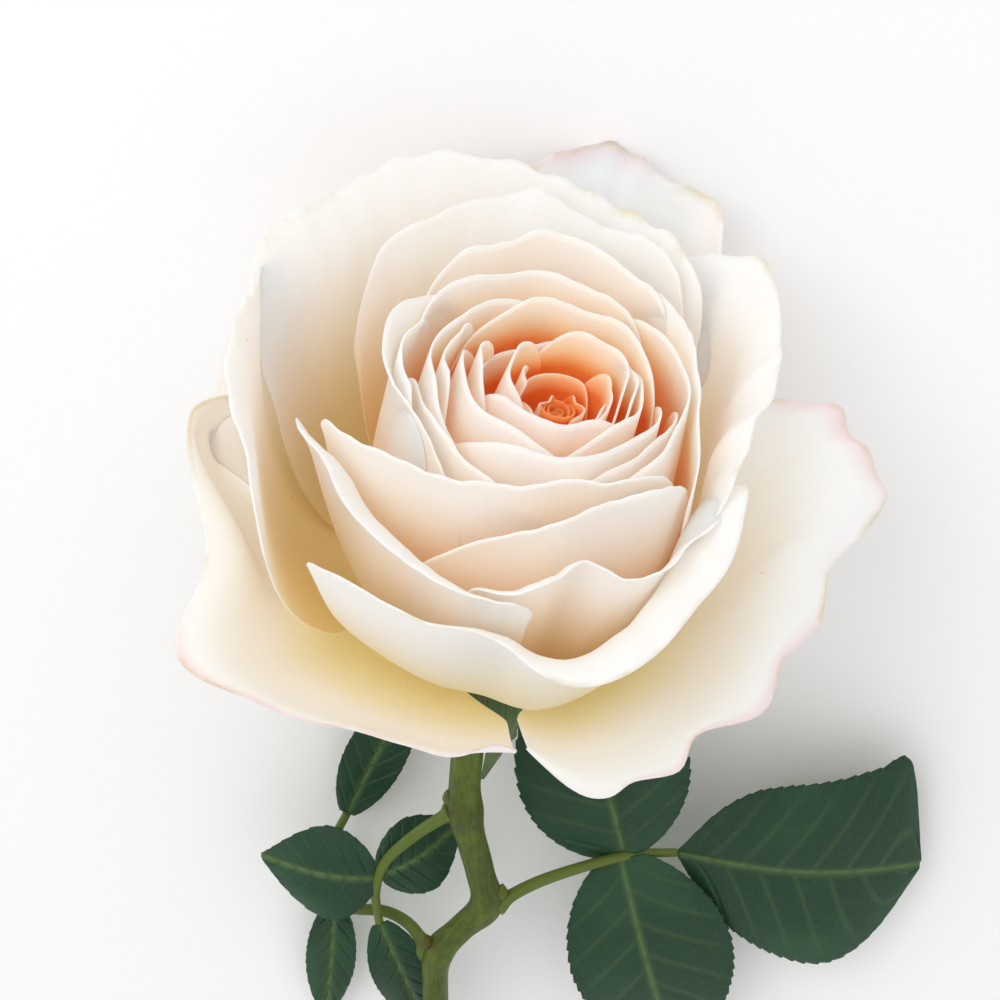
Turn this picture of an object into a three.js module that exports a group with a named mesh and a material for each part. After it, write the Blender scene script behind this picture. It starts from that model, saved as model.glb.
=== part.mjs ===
// Cut rose lying on a flat surface: one open bloom, its stem and three leaves.
//
// Every petal, sepal and leaflet is a closed shell of even thickness around a
// middle surface. Petals are worked out in the bloom's own frame: +Z is the
// bloom's axis, angle 0 faces the stem side (-Y) and angles grow towards +X.
// The stem and leaves are worked out over the resting surface, from the point
// below the bloom's seat. Lengths are millimetres and angles are degrees.

import * as THREE from "three";

// ---- driving dimensions: how the flower lies ------------------------------

const AXIS_RISE = 22; // the bloom's axis rises this much above the surface
const AXIS_LEAN = 9.5; // and leans this much towards +X

// ---- driving dimensions: bloom ---------------------------------------------

const BLOOM_SCALE = 1; // size of all petals and sepals together
const PETAL_THICKNESS = 0.45;
const FITTED_THICKNESS = 0.45; // the petals' rows below are written for this thickness
const THICKER = PETAL_THICKNESS - FITTED_THICKNESS; // what thicker petals add, each
const SEAT_RADIUS = 9.2; // seat of the outermost petal on the receptacle
const SEAT_HEIGHT = -1;
const SEAT_STEP_IN = 0.2; // each later petal is seated this much further in
const SEAT_STEP_UP = 0.42; // and this much higher
const SEAT_GAP = 0.125; // clearance between a petal's inner face and the receptacle
const SEAT_DROP = 6; // thicker petals lower the cone under them by this many times what they add
const PUSH_SHARE = 0.6; // thicker inner petals push a petal out by this share of what they add
const BASE_SHARE = 0.3; // a petal's width at its seat, as a share of the full one
const BASE_RUN = 0.5; // share of a petal's length over which it widens
const WIDE_PETALS = 9; // this many outer petals have a finer mesh

const CORE_PETALS = 14;
const CORE_RADIUS = { first: 16.9, last: 2.2 };
const CORE_HEIGHT = { first: 45.4, last: 38.4 };
const CORE_DROP = { start: 0.45, end: 0.8 }; // where the core's rims fall, as shares of its petals
const CORE_SPREAD = { first: 84, last: 78 };
const CORE_BELLY = { first: 2.2, last: 1.8, height: 20 }; // bulge past the rim
const CORE_START_ANGLE = -112;
const GOLDEN_ANGLE = 137.5;
const HEART_OFFSET = { x: 4.2, y: 4.6 }; // the heart stands off the bloom's axis
const OFFSET_START = 16; // the petal after which the offset sets in
const OFFSET_HEIGHT = 40; // height at which the whole offset is reached

const HIP_RADIUS = 6.2;
const HIP_LENGTH = 10;
const HEART_RADIUS = 1.15;

const SEPALS = 5;
const SEPAL_LENGTH = 27;
const SEPAL_HALF_WIDTH = 3.6;
const SEPAL_THICKNESS = 0.6;

// ---- driving dimensions: stem and leaves -----------------------------------

const STEM_RADIUS = { top: 2.7, middle: 2.1, end: 2.5 };
const STALK_RADIUS = { root: 1.1, tip: 0.7 };
const JOIN_GAP = 0.3; // clearance where two pieces of the plant meet
const LEAF_SCALE = 1; // size of all leaflets together
const LEAF_THICKNESS = 0.5;

const STEM_SCALE = 1; // length of the stem

// The stem's bends: how far to the side of the hip's end and how far below it,
// and the height over the cut end, as a share of the hip's end's own height.
const STEM_BENDS = [
  [-0.9, 7.9, 0.93],
  [-1.6, 17.9, 0.848],
  [-2.2, 30.9, 0.74],
  [0.1, 42.9, 0.66],
  [1.1, 49.9, 0.62],
  [-2.9, 54.9, 0.589],
  [-6.5, 59.9, 0.558],
  [-7.3, 69.9, 0.498],
  [-5.7, 101.9, 0.337],
  [-7.9, 139.9, 0.176],
  [-6.5, 179.9, 0.055],
  [-7.7, 215.9, 0],
];

// ---- the petals, from the outside in ---------------------------------------
// turn and spread: the middle angle and half the width, as angles on the bloom
// belly: radius and height of the widest part
// radii and heights: the rim at five even steps across, from -spread to +spread
// reach: how far along its length the petal goes at those five steps
// corner: how much the rim drops at its two corners
// curl: how far the rim rolls outwards at the five steps, from the share start on
// wave: depth, number and phase of the rim's waves

const FULL = [1, 1, 1, 1, 1];

const OUTER_PETALS = [
  {
    name: "guard_back_left", turn: -146, spread: 46, belly: [44, 12],
    radii: [45, 48, 49, 48, 45], heights: [27, 30, 31, 30, 28], reach: FULL,
    corner: 0.3, curl: [2, 3, 3, 3, 2], start: 0.6, wave: [1.3, 5, 0.9],
  },
  {
    name: "guard_right", turn: 72, spread: 57, belly: [40, 8],
    radii: [31, 39, 45, 51, 47], heights: [0, 5, 16, 25, 29], reach: FULL,
    corner: 0.22, curl: [1, 2, 2, 5, 3], start: 0.6, wave: [1.5, 5, 0.2],
  },
  {
    name: "guard_left", turn: -44, spread: 50, belly: [41, 6],
    radii: [45, 47, 44, 33, 28], heights: [30, 19, 8, 3, 3], reach: FULL,
    corner: 0.22, curl: [2, 5, 5, 2, 1], start: 0.6, wave: [1.3, 5, 0.5],
  },
  {
    name: "guard_back_right", turn: 162, spread: 44, belly: [44, 17],
    radii: [44, 48, 52, 53, 48], heights: [42, 43, 44, 44, 42], reach: FULL,
    corner: 0.26, curl: [1, 2, 3, 4, 2], start: 0.7, wave: [1.2, 6, 0.2],
  },
  {
    name: "cup_right", turn: 106, spread: 52, belly: [40, 18],
    radii: [31.5, 32, 37, 43, 41.5], heights: [44, 44, 44, 45, 45],
    reach: [0.88, 0.95, 1, 1, 0.97],
    corner: 0.2, curl: [0, 1, 1, 2, 1], start: 0.75, wave: [0.8, 4, 0.6],
  },
  {
    name: "cup_front", turn: 8, spread: 60, belly: [40.5, 12],
    radii: [35, 34, 33.5, 35, 34.5], heights: [31, 30, 29, 33, 43], reach: FULL,
    corner: 0.18, curl: [1, 1, 5, 5, 1], start: 0.7, wave: [0.7, 6, 0.3],
  },
  {
    name: "cup_back", turn: -162, spread: 62, belly: [41, 19],
    radii: [36, 42, 45, 46.5, 46], heights: [48, 48, 48, 48, 47], reach: FULL,
    corner: 0.22, curl: [0, 1, 1.5, 1.5, 1], start: 0.75, wave: [0.7, 5, 0.2],
  },
  {
    name: "cup_left", turn: -80, spread: 46, belly: [39.3, 18],
    radii: [43.5, 43.5, 42, 39, 36.5], heights: [46, 46, 46, 46, 46],
    reach: [1, 1, 0.97, 0.86, 0.74],
    corner: 0.2, curl: [0.5, 0.5, 1, 0.5, 0.5], start: 0.75, wave: [0.6, 4, 0.1],
  },
  {
    name: "mid_back", turn: -176, spread: 48, belly: [35, 20],
    radii: [33, 35.5, 37, 36, 33], heights: [48, 48, 48.5, 48, 48], reach: FULL,
    corner: 0.25, curl: [0, 0.5, 1, 0.5, 0.5], start: 0.75, wave: [0.7, 5, 0.1],
  },
  {
    name: "lip_left", turn: -38, spread: 44, belly: [33.9, 15],
    radii: [33.2, 31.3, 29, 28, 27.5], heights: [42, 42, 42, 42, 42],
    reach: [1, 0.97, 0.9, 0.87, 0.85],
    corner: 0.15, curl: [0, 2, 3.5, 3, 1], start: 0.65, wave: [0.6, 5, 0.3],
  },
  {
    name: "lip_right", turn: 34, spread: 42, belly: [31.5, 15],
    radii: [25.8, 26.7, 28, 28.5, 27], heights: [42, 42, 42, 42, 42],
    reach: [0.88, 0.92, 0.98, 0.96, 0.92],
    corner: 0.15, curl: [0.5, 1, 2.5, 1, 0.5], start: 0.75, wave: [0.5, 5, 0.9],
  },
  {
    name: "mid_right", turn: 104, spread: 54, belly: [31.4, 20],
    radii: [26, 25.4, 25.7, 28.5, 29.5], heights: [45, 45, 46, 46.5, 46.5],
    reach: FULL,
    corner: 0.22, curl: [0, 0, 0.5, 1, 0.5], start: 0.8, wave: [0.6, 4, 0.2],
  },
  {
    name: "front_right", turn: 20, spread: 52, belly: [27.8, 17],
    radii: [25, 23.4, 22.5, 23.3, 23.7], heights: [45.5, 45.5, 45.5, 45.5, 45.5],
    reach: [0.84, 0.92, 0.99, 1, 0.97],
    corner: 0.15, curl: [0.3, 0.3, 0.5, 0.5, 0.3], start: 0.8, wave: [0.4, 5, 0.4],
  },
  {
    name: "mid_back_in", turn: 176, spread: 48, belly: [29.5, 20],
    radii: [24, 27.5, 30, 27.5, 25.5], heights: [47, 48, 48, 48, 47.5], reach: FULL,
    corner: 0.25, curl: [0, 0.5, 0.5, 0.5, 0], start: 0.8, wave: [0.6, 5, 0.2],
  },
  {
    name: "front_low", turn: -6, spread: 72, belly: [28, 17],
    radii: [29, 22.4, 20.6, 20.8, 21.7], heights: [45, 45, 45, 45, 45],
    reach: [1, 0.97, 1, 1, 0.97],
    corner: 0.12, curl: [1, 0.6, 0.5, 0.3, 0.3], start: 0.82, wave: [0.35, 7, 0.2],
  },
  {
    name: "ring_right", turn: 96, spread: 64, belly: [24.8, 19],
    radii: [18.4, 19.6, 21, 22, 22], heights: [45, 45.5, 46, 46.5, 46.5],
    reach: FULL,
    corner: 0.18, curl: [0, 0, 0.3, 0.3, 0.3], start: 0.8, wave: [0.4, 6, 0.1],
  },
  {
    name: "ring_left", turn: -88, spread: 66, belly: [25.3, 19],
    radii: [23, 23, 21.4, 18.8, 19], heights: [46.5, 46.5, 46, 46, 45.5],
    reach: [1, 1, 1, 1, 0.94],
    corner: 0.15, curl: [0.5, 0.3, 0.3, 0.3, 0.3], start: 0.8, wave: [0.35, 5, 0.8],
  },
  {
    name: "ring_back", turn: -172, spread: 60, belly: [23.3, 20],
    radii: [19.8, 20.6, 21.2, 21.2, 20.6], heights: [46.5, 47, 47, 47, 46.5],
    reach: FULL,
    corner: 0.18, curl: [0, 0.3, 0.3, 0.3, 0], start: 0.8, wave: [0.4, 6, 0.3],
  },
  {
    name: "front_in_left", turn: -40, spread: 58, belly: [22.5, 18],
    radii: [19, 17.8, 17.8, 18.2, 18.3], heights: [45, 45, 45, 45, 44],
    reach: [1, 1, 0.98, 0.95, 0.9],
    corner: 0.15, curl: [0, 0, 0, 0, 0], start: 0.8, wave: [0.3, 5, 0.7],
  },
  {
    name: "front_in_right", turn: 42, spread: 62, belly: [21.7, 18],
    radii: [16.6, 16.8, 17.2, 18.3, 18.9], heights: [44, 44, 44, 44.5, 45],
    reach: [0.92, 0.96, 1, 1, 1],
    corner: 0.15, curl: [0, 0, 0, 0, 0], start: 0.8, wave: [0.3, 5, 0.3],
  },
];

// ---- the leaves ------------------------------------------------------------
// node: the bend of the stem that the leaf grows from, as a place in STEM_BENDS
// stalk: the stalk's points as steps in x and y from that bend, and their height
// as a share of the bend's height
// leaflet: at = place along the stalk, heading in plan, length, half width on
// its two sides, rise of its tip over its base and how far its middle arches up

const LEAVES = [
  {
    name: "leaf_right", node: 4, side: 1,
    stalk: [[8, 3.2, 0.95], [17, 5.2, 0.83], [24, 5.6, 0.71], [31, 5, 0.63]],
    leaflets: [
      { name: "tip", at: 1, heading: -14, length: 43, half: [16, 19], rise: -7, arch: 3 },
      { name: "upper", at: 0.72, heading: 104, length: 38, half: [14, 14], rise: -8, arch: 3 },
      { name: "lower", at: 0.7, heading: -78, length: 46, half: [13, 11.5], rise: -10, arch: 3 },
    ],
  },
  {
    name: "leaf_left", node: 2, side: -1,
    stalk: [[-8, -6.5, 0.85], [-13, -13, 0.75], [-14.6, -19, 0.69], [-14.2, -26, 0.61]],
    leaflets: [
      { name: "tip", at: 1, heading: -76, length: 27, half: [6, 6], rise: -9, arch: 1.5 },
      { name: "outer", at: 0.74, heading: 172, length: 19, half: [8, 8], rise: -5, arch: 2 },
      { name: "inner", at: 0.68, heading: 20, length: 15, half: [6.5, 5.5], rise: -6, arch: 1 },
    ],
  },
  {
    name: "leaf_low", node: 6, side: -1,
    stalk: [[-5.2, 1.2, 0.65], [-8.4, 1.6, 0.5], [-13.5, 0.6, 0.36], [-17, 5, 0.29], [-17, 14, 0.26]],
    leaflets: [
      { name: "tip", at: 1, heading: 66, length: 31, half: [5, 5], rise: 3, arch: 1 },
      { name: "outer", at: 0.62, heading: -96, length: 25, half: [4.5, 4.5], rise: -3, arch: 1 },
    ],
  },
];

// ---- small helpers ----------------------------------------------------------

const rad = THREE.MathUtils.degToRad;
const mix = THREE.MathUtils.lerp;
const ease = THREE.MathUtils.smoothstep;

const material = (color, roughness) =>
  new THREE.MeshStandardMaterial({ color, roughness, metalness: 0 });

/** A smooth curve through five marks that stand at s = -1, -0.5, 0, 0.5 and 1. */
function through(marks, s) {
  const place = THREE.MathUtils.clamp((s + 1) * 2, 0, 4);
  const k = Math.min(Math.floor(place), 3);
  const f = place - k;
  const slope = (i) => {
    const low = Math.max(i - 1, 0);
    const high = Math.min(i + 1, 4);
    return (marks[high] - marks[low]) / (high - low);
  };
  const ends = marks[k] * (1 + 2 * f) * (1 - f) ** 2 + marks[k + 1] * f * f * (3 - 2 * f);
  return ends + slope(k) * f * (1 - f) ** 2 - slope(k + 1) * f * f * (1 - f);
}

/** One closed mesh from points and triangles, with its faces turned outwards. */
function solid(name, points, triangles, look) {
  let volume = 0;
  for (const [a, b, c] of triangles) {
    volume += points[a].dot(new THREE.Vector3().crossVectors(points[b], points[c]));
  }
  const faces = volume > 0 ? triangles : triangles.map(([a, b, c]) => [a, c, b]);
  const geometry = new THREE.BufferGeometry().setFromPoints(points);
  geometry.setIndex(faces.flat());
  geometry.computeVertexNormals();
  const mesh = new THREE.Mesh(geometry, look);
  mesh.name = name;
  return mesh;
}

/** A closed shell of even thickness around middle(s, v), with s -1..1 and v 0..1. */
function shell(name, middle, across, along, thickness, look) {
  const points = [];
  const step = 0.004;
  for (const side of [0.5, -0.5]) {
    for (let j = 0; j <= along; j++) {
      for (let i = 0; i <= across; i++) {
        const s = -1 + (2 * i) / across;
        const v = j / along;
        const [s0, s1] = [Math.max(s - step, -0.98), Math.min(Math.max(s + step, -0.97), 0.98)];
        const [v0, v1] = [Math.max(v - step, 0), Math.min(v + step, 1)];
        const ds = middle(s1, v).sub(middle(Math.min(s0, s1 - step), v));
        const dv = middle(s, v1).sub(middle(s, v0));
        const normal = ds.cross(dv).normalize();
        points.push(middle(s, v).addScaledVector(normal, side * thickness));
      }
    }
  }
  const row = across + 1;
  const layer = row * (along + 1);
  const triangles = [];
  const quad = (a, b, c, d) => triangles.push([a, b, c], [a, c, d]);
  for (let j = 0; j < along; j++) {
    for (let i = 0; i < across; i++) {
      const a = j * row + i;
      quad(a, a + 1, a + row + 1, a + row);
      quad(layer + a, layer + a + row, layer + a + row + 1, layer + a + 1);
    }
  }
  for (let i = 0; i < across; i++) {
    const last = along * row + i;
    quad(i, layer + i, layer + i + 1, i + 1);
    quad(last, last + 1, layer + last + 1, layer + last);
  }
  for (let j = 0; j < along; j++) {
    const left = j * row;
    const right = left + across;
    quad(left, left + row, layer + left + row, layer + left);
    quad(right, layer + right, layer + right + row, right + row);
  }
  return solid(name, points, triangles, look);
}

/** A closed rod along a curve, with round rings whose radius is radius(t). */
function rod(name, curve, radius, steps, sides, look) {
  const frames = curve.computeFrenetFrames(steps, false);
  const points = [];
  for (let k = 0; k <= steps; k++) {
    const centre = curve.getPointAt(k / steps);
    for (let i = 0; i < sides; i++) {
      const angle = (2 * Math.PI * i) / sides;
      const size = radius(k / steps);
      const point = centre.clone();
      point.addScaledVector(frames.normals[k], size * Math.cos(angle));
      point.addScaledVector(frames.binormals[k], size * Math.sin(angle));
      points.push(point);
    }
  }
  const triangles = [];
  for (let k = 0; k < steps; k++) {
    for (let i = 0; i < sides; i++) {
      const a = k * sides + i;
      const b = k * sides + ((i + 1) % sides);
      triangles.push([a, b, b + sides], [a, b + sides, a + sides]);
    }
  }
  const last = steps * sides;
  for (let i = 1; i < sides - 1; i++) {
    triangles.push([0, i + 1, i], [last, last + i, last + i + 1]);
  }
  return solid(name, points, triangles, look);
}

// ---- bloom ------------------------------------------------------------------

/** The fourteen petals of the core: smaller and lower ones turned by the golden angle. */
function corePetals() {
  return Array.from({ length: CORE_PETALS }, (_, k) => {
    const f = k / (CORE_PETALS - 1);
    const radius = mix(CORE_RADIUS.first, CORE_RADIUS.last, f);
    const dropped = ease(f, CORE_DROP.start, CORE_DROP.end);
    const height = mix(CORE_HEIGHT.first, CORE_HEIGHT.last, dropped);
    return {
      name: `core_${String(k + 1).padStart(2, "0")}`,
      turn: CORE_START_ANGLE + GOLDEN_ANGLE * k,
      spread: mix(CORE_SPREAD.first, CORE_SPREAD.last, f),
      belly: [radius + mix(CORE_BELLY.first, CORE_BELLY.last, f), CORE_BELLY.height],
      radii: FULL.map(() => radius),
      heights: FULL.map(() => height),
      reach: FULL,
      corner: 0.22,
      curl: FULL.map(() => 0),
      start: 0.8,
      wave: [0.3, 7 - 3 * f, 0.37 * k],
    };
  });
}

const seatRadius = (index) => SEAT_RADIUS - SEAT_STEP_IN * index;
const seatHeight = (index) => SEAT_HEIGHT + (SEAT_STEP_UP + THICKER) * index;

/** How far the core's petals stand off the bloom's axis at a height. */
function heartShift(index, last, height) {
  const inward = THREE.MathUtils.clamp((index - OFFSET_START) / (last - OFFSET_START), 0, 1);
  const upward = THREE.MathUtils.clamp(height / OFFSET_HEIGHT, 0, 1.2) ** 2;
  return [HEART_OFFSET.x * inward ** 0.8 * upward, HEART_OFFSET.y * inward ** 0.6 * upward];
}

/**
 * A petal's middle surface. Seen from the side it is a cubic curve from its seat
 * over its belly to its rim; across, it follows a circle round the bloom's axis.
 * Its outer end curls outwards with the square of the way past start, and its
 * rim waves more towards the end.
 */
function petalSurface(petal, index, last) {
  const { belly, radii, heights, start, wave } = petal;
  const seat = [seatRadius(index), seatHeight(index)];
  const widest = Math.max(...radii);
  const highest = Math.max(...heights);
  return (s, v) => {
    const rounding = 1 - petal.corner + petal.corner * Math.sqrt(1 - Math.abs(s) ** 5);
    const t = v * through(petal.reach, s) * rounding;
    const rim = [through(radii, s), through(heights, s)];
    const bulge = [
      belly[0] * Math.sqrt(rim[0] / widest),
      belly[1] * THREE.MathUtils.clamp(rim[1] / highest, 0.3, 1),
    ];
    const foot = [mix(seat[0], bulge[0], 0.8), seat[1] - 1 + 0.12 * bulge[1]];
    const along = (k) =>
      (1 - t) ** 3 * seat[k] +
      3 * (1 - t) ** 2 * t * foot[k] +
      3 * (1 - t) * t * t * bulge[k] +
      t ** 3 * rim[k];
    const rolled = Math.max((v - start) / (1 - start), 0) ** 2 * through(petal.curl, s);
    const [depth, count, phase] = wave;
    const ripple = depth * v ** 4;
    const pushed = PUSH_SHARE * THICKER * (last - index) * ease(t, 0, BASE_RUN);
    const waved = ripple * Math.sin(count * s * 1.6 + phase * 2 * Math.PI);
    const radius = along(0) + rolled + pushed + waved;
    const height = along(1) - 0.35 * rolled + 0.5 * ripple * Math.cos(count * s * 1.9 + phase * 3);
    const width = mix(BASE_SHARE, 1, ease(t, 0, BASE_RUN));
    const angle = rad(petal.turn + petal.spread * s * width);
    const [dx, dy] = heartShift(index, last, height);
    const point = new THREE.Vector3(
      radius * Math.sin(angle) + dx,
      -radius * Math.cos(angle) + dy,
      height,
    );
    return point.multiplyScalar(BLOOM_SCALE);
  };
}

/** The cone that all petals are seated on, and the hip below it. */
function makeReceptacle(petalCount) {
  const seatLine = (index) => {
    const radius = seatRadius(index) - PETAL_THICKNESS / 2 - SEAT_GAP;
    return new THREE.Vector2(radius, seatHeight(index) - 0.4 - SEAT_DROP * THICKER);
  };
  const profile = [
    new THREE.Vector2(0, SEAT_HEIGHT - HIP_LENGTH),
    new THREE.Vector2(HIP_RADIUS * 0.5, SEAT_HEIGHT - HIP_LENGTH),
    new THREE.Vector2(HIP_RADIUS * 0.9, SEAT_HEIGHT - HIP_LENGTH * 0.75),
    new THREE.Vector2(HIP_RADIUS, SEAT_HEIGHT - HIP_LENGTH * 0.45),
    new THREE.Vector2(HIP_RADIUS * 0.95, SEAT_HEIGHT - HIP_LENGTH * 0.25),
    seatLine(0),
    seatLine(petalCount * 0.5),
    seatLine(petalCount),
    new THREE.Vector2(0, seatHeight(petalCount) - 0.2),
  ];
  const scaled = profile.map((point) => point.multiplyScalar(BLOOM_SCALE));
  const geometry = new THREE.LatheGeometry(scaled, 24);
  geometry.rotateX(Math.PI / 2);
  const mesh = new THREE.Mesh(geometry, material(0x8a9a5c, 0.6));
  mesh.name = "receptacle";
  return mesh;
}

/** The closed heart: the last petals, wound into a slim bud. */
function makeHeart(petalCount) {
  const foot = seatHeight(petalCount) + 0.4;
  const top = CORE_HEIGHT.last;
  const heights = [foot, mix(foot, top, 0.3), mix(foot, top, 0.7), top - 1.5, top];
  const places = heights.map((height) => {
    const [dx, dy] = heartShift(petalCount, petalCount, height);
    return new THREE.Vector3(dx, dy, height).multiplyScalar(BLOOM_SCALE);
  });
  const radius = (t) => BLOOM_SCALE * HEART_RADIUS * (0.55 + 0.45 * Math.sin(Math.PI * t));
  const curve = new THREE.CatmullRomCurve3(places);
  return rod("heart", curve, radius, 8, 8, material(0xe8742f, 0.6));
}

/** A sepal: narrow, tapering to a thin tip, and bent down past the hip. */
function sepalSurface(turn) {
  return (s, v) => {
    const drop = rad(mix(-20, 95, ease(v, 0, 0.5)));
    const path = SEPAL_LENGTH * v;
    const radius = HIP_RADIUS + 1 + path * 0.42 * Math.cos(drop * 0.8);
    const height = SEAT_HEIGHT - 2.6 - path * 0.86 * Math.sin(Math.max(drop, 0) * 0.9);
    const half = SEPAL_HALF_WIDTH * (1 - v) ** 0.8 * (0.75 + v) + 0.35;
    const angle = rad(turn);
    const lift = 0.12 * half * s * s;
    const outward = radius - lift;
    return new THREE.Vector3(
      outward * Math.sin(angle) + half * s * Math.cos(angle),
      -outward * Math.cos(angle) + half * s * Math.sin(angle),
      height,
    ).multiplyScalar(BLOOM_SCALE);
  };
}

function makeBloom() {
  const bloom = new THREE.Group();
  const petals = [...OUTER_PETALS, ...corePetals()];
  const outside = new THREE.Color(0xe6e6e0);
  const inside = new THREE.Color(0xee9d6a);
  petals.forEach((petal, index) => {
    const tint = outside.clone().lerp(inside, ease(index, 12, petals.length - 1));
    const [across, along] = index < WIDE_PETALS ? [11, 8] : [8, 7];
    const surface = petalSurface(petal, index, petals.length - 1);
    bloom.add(shell(petal.name, surface, across, along, PETAL_THICKNESS, material(tint, 0.6)));
  });
  for (let k = 0; k < SEPALS; k++) {
    const surface = sepalSurface(12 + (360 / SEPALS) * k);
    const name = `sepal_${k + 1}`;
    bloom.add(shell(name, surface, 4, 5, SEPAL_THICKNESS, material(0x7f8f45, 0.6)));
  }
  bloom.add(makeReceptacle(petals.length), makeHeart(petals.length));
  bloom.rotation.set(rad(AXIS_RISE - 90), 0, rad(-AXIS_LEAN), "ZYX");
  bloom.updateMatrixWorld(true);
  bloom.position.z = -new THREE.Box3().setFromObject(bloom, true).min.z;
  bloom.updateMatrixWorld(true);
  return bloom;
}

// ---- stem and leaves ----------------------------------------------------------

/** A place on the bloom's axis, at a distance below the hip's end. */
function belowHip(bloom, distance) {
  const place = new THREE.Vector3(0, 0, (SEAT_HEIGHT - HIP_LENGTH) * BLOOM_SCALE - distance);
  return place.applyMatrix4(bloom.matrixWorld);
}

/** The stem's bends over the resting surface, down to the cut end lying on it. */
function stemBends(bloom) {
  const top = belowHip(bloom, 0);
  return STEM_BENDS.map(([aside, below, share]) => {
    const height = mix(STEM_RADIUS.end, top.z, share);
    return new THREE.Vector3(top.x + aside, top.y - STEM_SCALE * below, height);
  });
}

/** The stem: from just under the hip, along its bends, to the cut end. */
function makeStem(bloom) {
  const upper = [belowHip(bloom, JOIN_GAP), belowHip(bloom, 4)];
  const curve = new THREE.CatmullRomCurve3([...upper, ...stemBends(bloom)]);
  const radius = (t) =>
    t < 0.3
      ? mix(STEM_RADIUS.top, STEM_RADIUS.middle, t / 0.3)
      : mix(STEM_RADIUS.middle, STEM_RADIUS.end, (t - 0.3) / 0.7);
  return rod("stem", curve, radius, 56, 10, material(0x465a14, 0.5));
}

/** A leaflet: widest below its middle, arched along its length and creased along its rib. */
function leafletSurface(base, heading, leaflet) {
  const forward = new THREE.Vector3(Math.cos(rad(heading)), Math.sin(rad(heading)), 0);
  const leftward = new THREE.Vector3(-forward.y, forward.x, 0);
  return (s, v) => {
    const half = LEAF_SCALE * leaflet.half[s > 0 ? 0 : 1];
    const outline = 0.05 + 0.95 * Math.sin(Math.PI * (0.02 + 0.96 * v) ** 0.9) ** 0.9;
    const lift = leaflet.rise * v ** 1.6 + leaflet.arch * Math.sin(Math.PI * v);
    const crease = 0.1 * half * outline * Math.abs(s) * (1 - 1.4 * Math.abs(s));
    return base
      .clone()
      .addScaledVector(forward, LEAF_SCALE * leaflet.length * v)
      .addScaledVector(leftward, half * outline * s)
      .add(new THREE.Vector3(0, 0, lift + crease));
  };
}

function makeLeaf(leaf, root) {
  const pieces = new THREE.Group();
  const start = root.clone();
  start.x += leaf.side * (STEM_RADIUS.middle + STALK_RADIUS.root + JOIN_GAP);
  const points = leaf.stalk.map(
    ([x, y, share]) => new THREE.Vector3(root.x + x, root.y + y, root.z * share),
  );
  const curve = new THREE.CatmullRomCurve3([start, ...points]);
  const radius = (t) => mix(STALK_RADIUS.root, STALK_RADIUS.tip, t);
  pieces.add(rod(`${leaf.name}_stalk`, curve, radius, 14, 7, material(0x5d7a35, 0.5)));
  for (const leaflet of leaf.leaflets) {
    const heading = rad(leaflet.heading);
    const base = curve.getPointAt(leaflet.at);
    const clear = JOIN_GAP + (leaflet.at === 1 ? 0.4 : STALK_RADIUS.root + 0.6);
    base.x += clear * Math.cos(heading);
    base.y += clear * Math.sin(heading);
    const surface = leafletSurface(base, leaflet.heading, leaflet);
    const name = `${leaf.name}_${leaflet.name}`;
    pieces.add(shell(name, surface, 6, 7, LEAF_THICKNESS, material(0x35562f, 0.45)));
  }
  return pieces;
}

// ---- the whole flower -----------------------------------------------------------

const bloom = makeBloom();
const bends = stemBends(bloom);
const flower = new THREE.Group();
flower.add(bloom, makeStem(bloom), ...LEAVES.map((leaf) => makeLeaf(leaf, bends[leaf.node])));
flower.updateMatrixWorld(true);

// The origin is under the middle of the whole flower, on the resting surface.
const box = new THREE.Box3().setFromObject(flower, true);
const centre = box.getCenter(new THREE.Vector3());
flower.position.set(-centre.x, -centre.y, -box.min.z);

const rose = new THREE.Group();
rose.add(flower);

export default rose;
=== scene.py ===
"""Cut rose: an open garden rose, cream outside and apricot inside, lying on a pale surface.

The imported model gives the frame: where the flower lies and how large it is. Every visible
piece is a numpy surface, worked out in the bloom's own frame (+Z along the bloom's axis,
angle 0 towards the stem side, angles growing towards +X) or over the resting surface, and
then laid in place. Lengths in the tables are millimetres and angles are degrees.
"""

import bpy
import numpy as np
from mathutils import Matrix, Vector


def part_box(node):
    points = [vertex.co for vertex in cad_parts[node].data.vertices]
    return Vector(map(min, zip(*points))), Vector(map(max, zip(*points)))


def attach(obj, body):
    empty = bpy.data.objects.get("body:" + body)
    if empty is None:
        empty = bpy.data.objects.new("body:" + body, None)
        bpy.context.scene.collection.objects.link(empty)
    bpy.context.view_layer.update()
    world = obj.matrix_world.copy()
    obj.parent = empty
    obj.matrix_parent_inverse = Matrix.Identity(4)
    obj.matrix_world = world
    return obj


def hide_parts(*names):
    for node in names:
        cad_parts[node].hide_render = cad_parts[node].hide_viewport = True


bl_info = {
    "name": "Cut rose",
    "version": (1, 0, 0),
    "blender": (4, 5, 0),
    "location": "View3D > Sidebar > Rose",
    "description": "Builds a cut garden rose around its packed frame",
    "category": "Add Mesh",
}

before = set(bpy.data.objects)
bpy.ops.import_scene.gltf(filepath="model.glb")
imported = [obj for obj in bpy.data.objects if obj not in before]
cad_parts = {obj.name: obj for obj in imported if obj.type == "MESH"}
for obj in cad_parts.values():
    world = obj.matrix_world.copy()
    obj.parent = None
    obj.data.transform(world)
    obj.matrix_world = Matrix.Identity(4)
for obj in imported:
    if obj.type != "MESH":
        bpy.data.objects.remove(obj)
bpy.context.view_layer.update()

MM = 0.001
BODY = "root"

# ---- how the flower lies, and how its petals are seated ----------------------------

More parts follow.
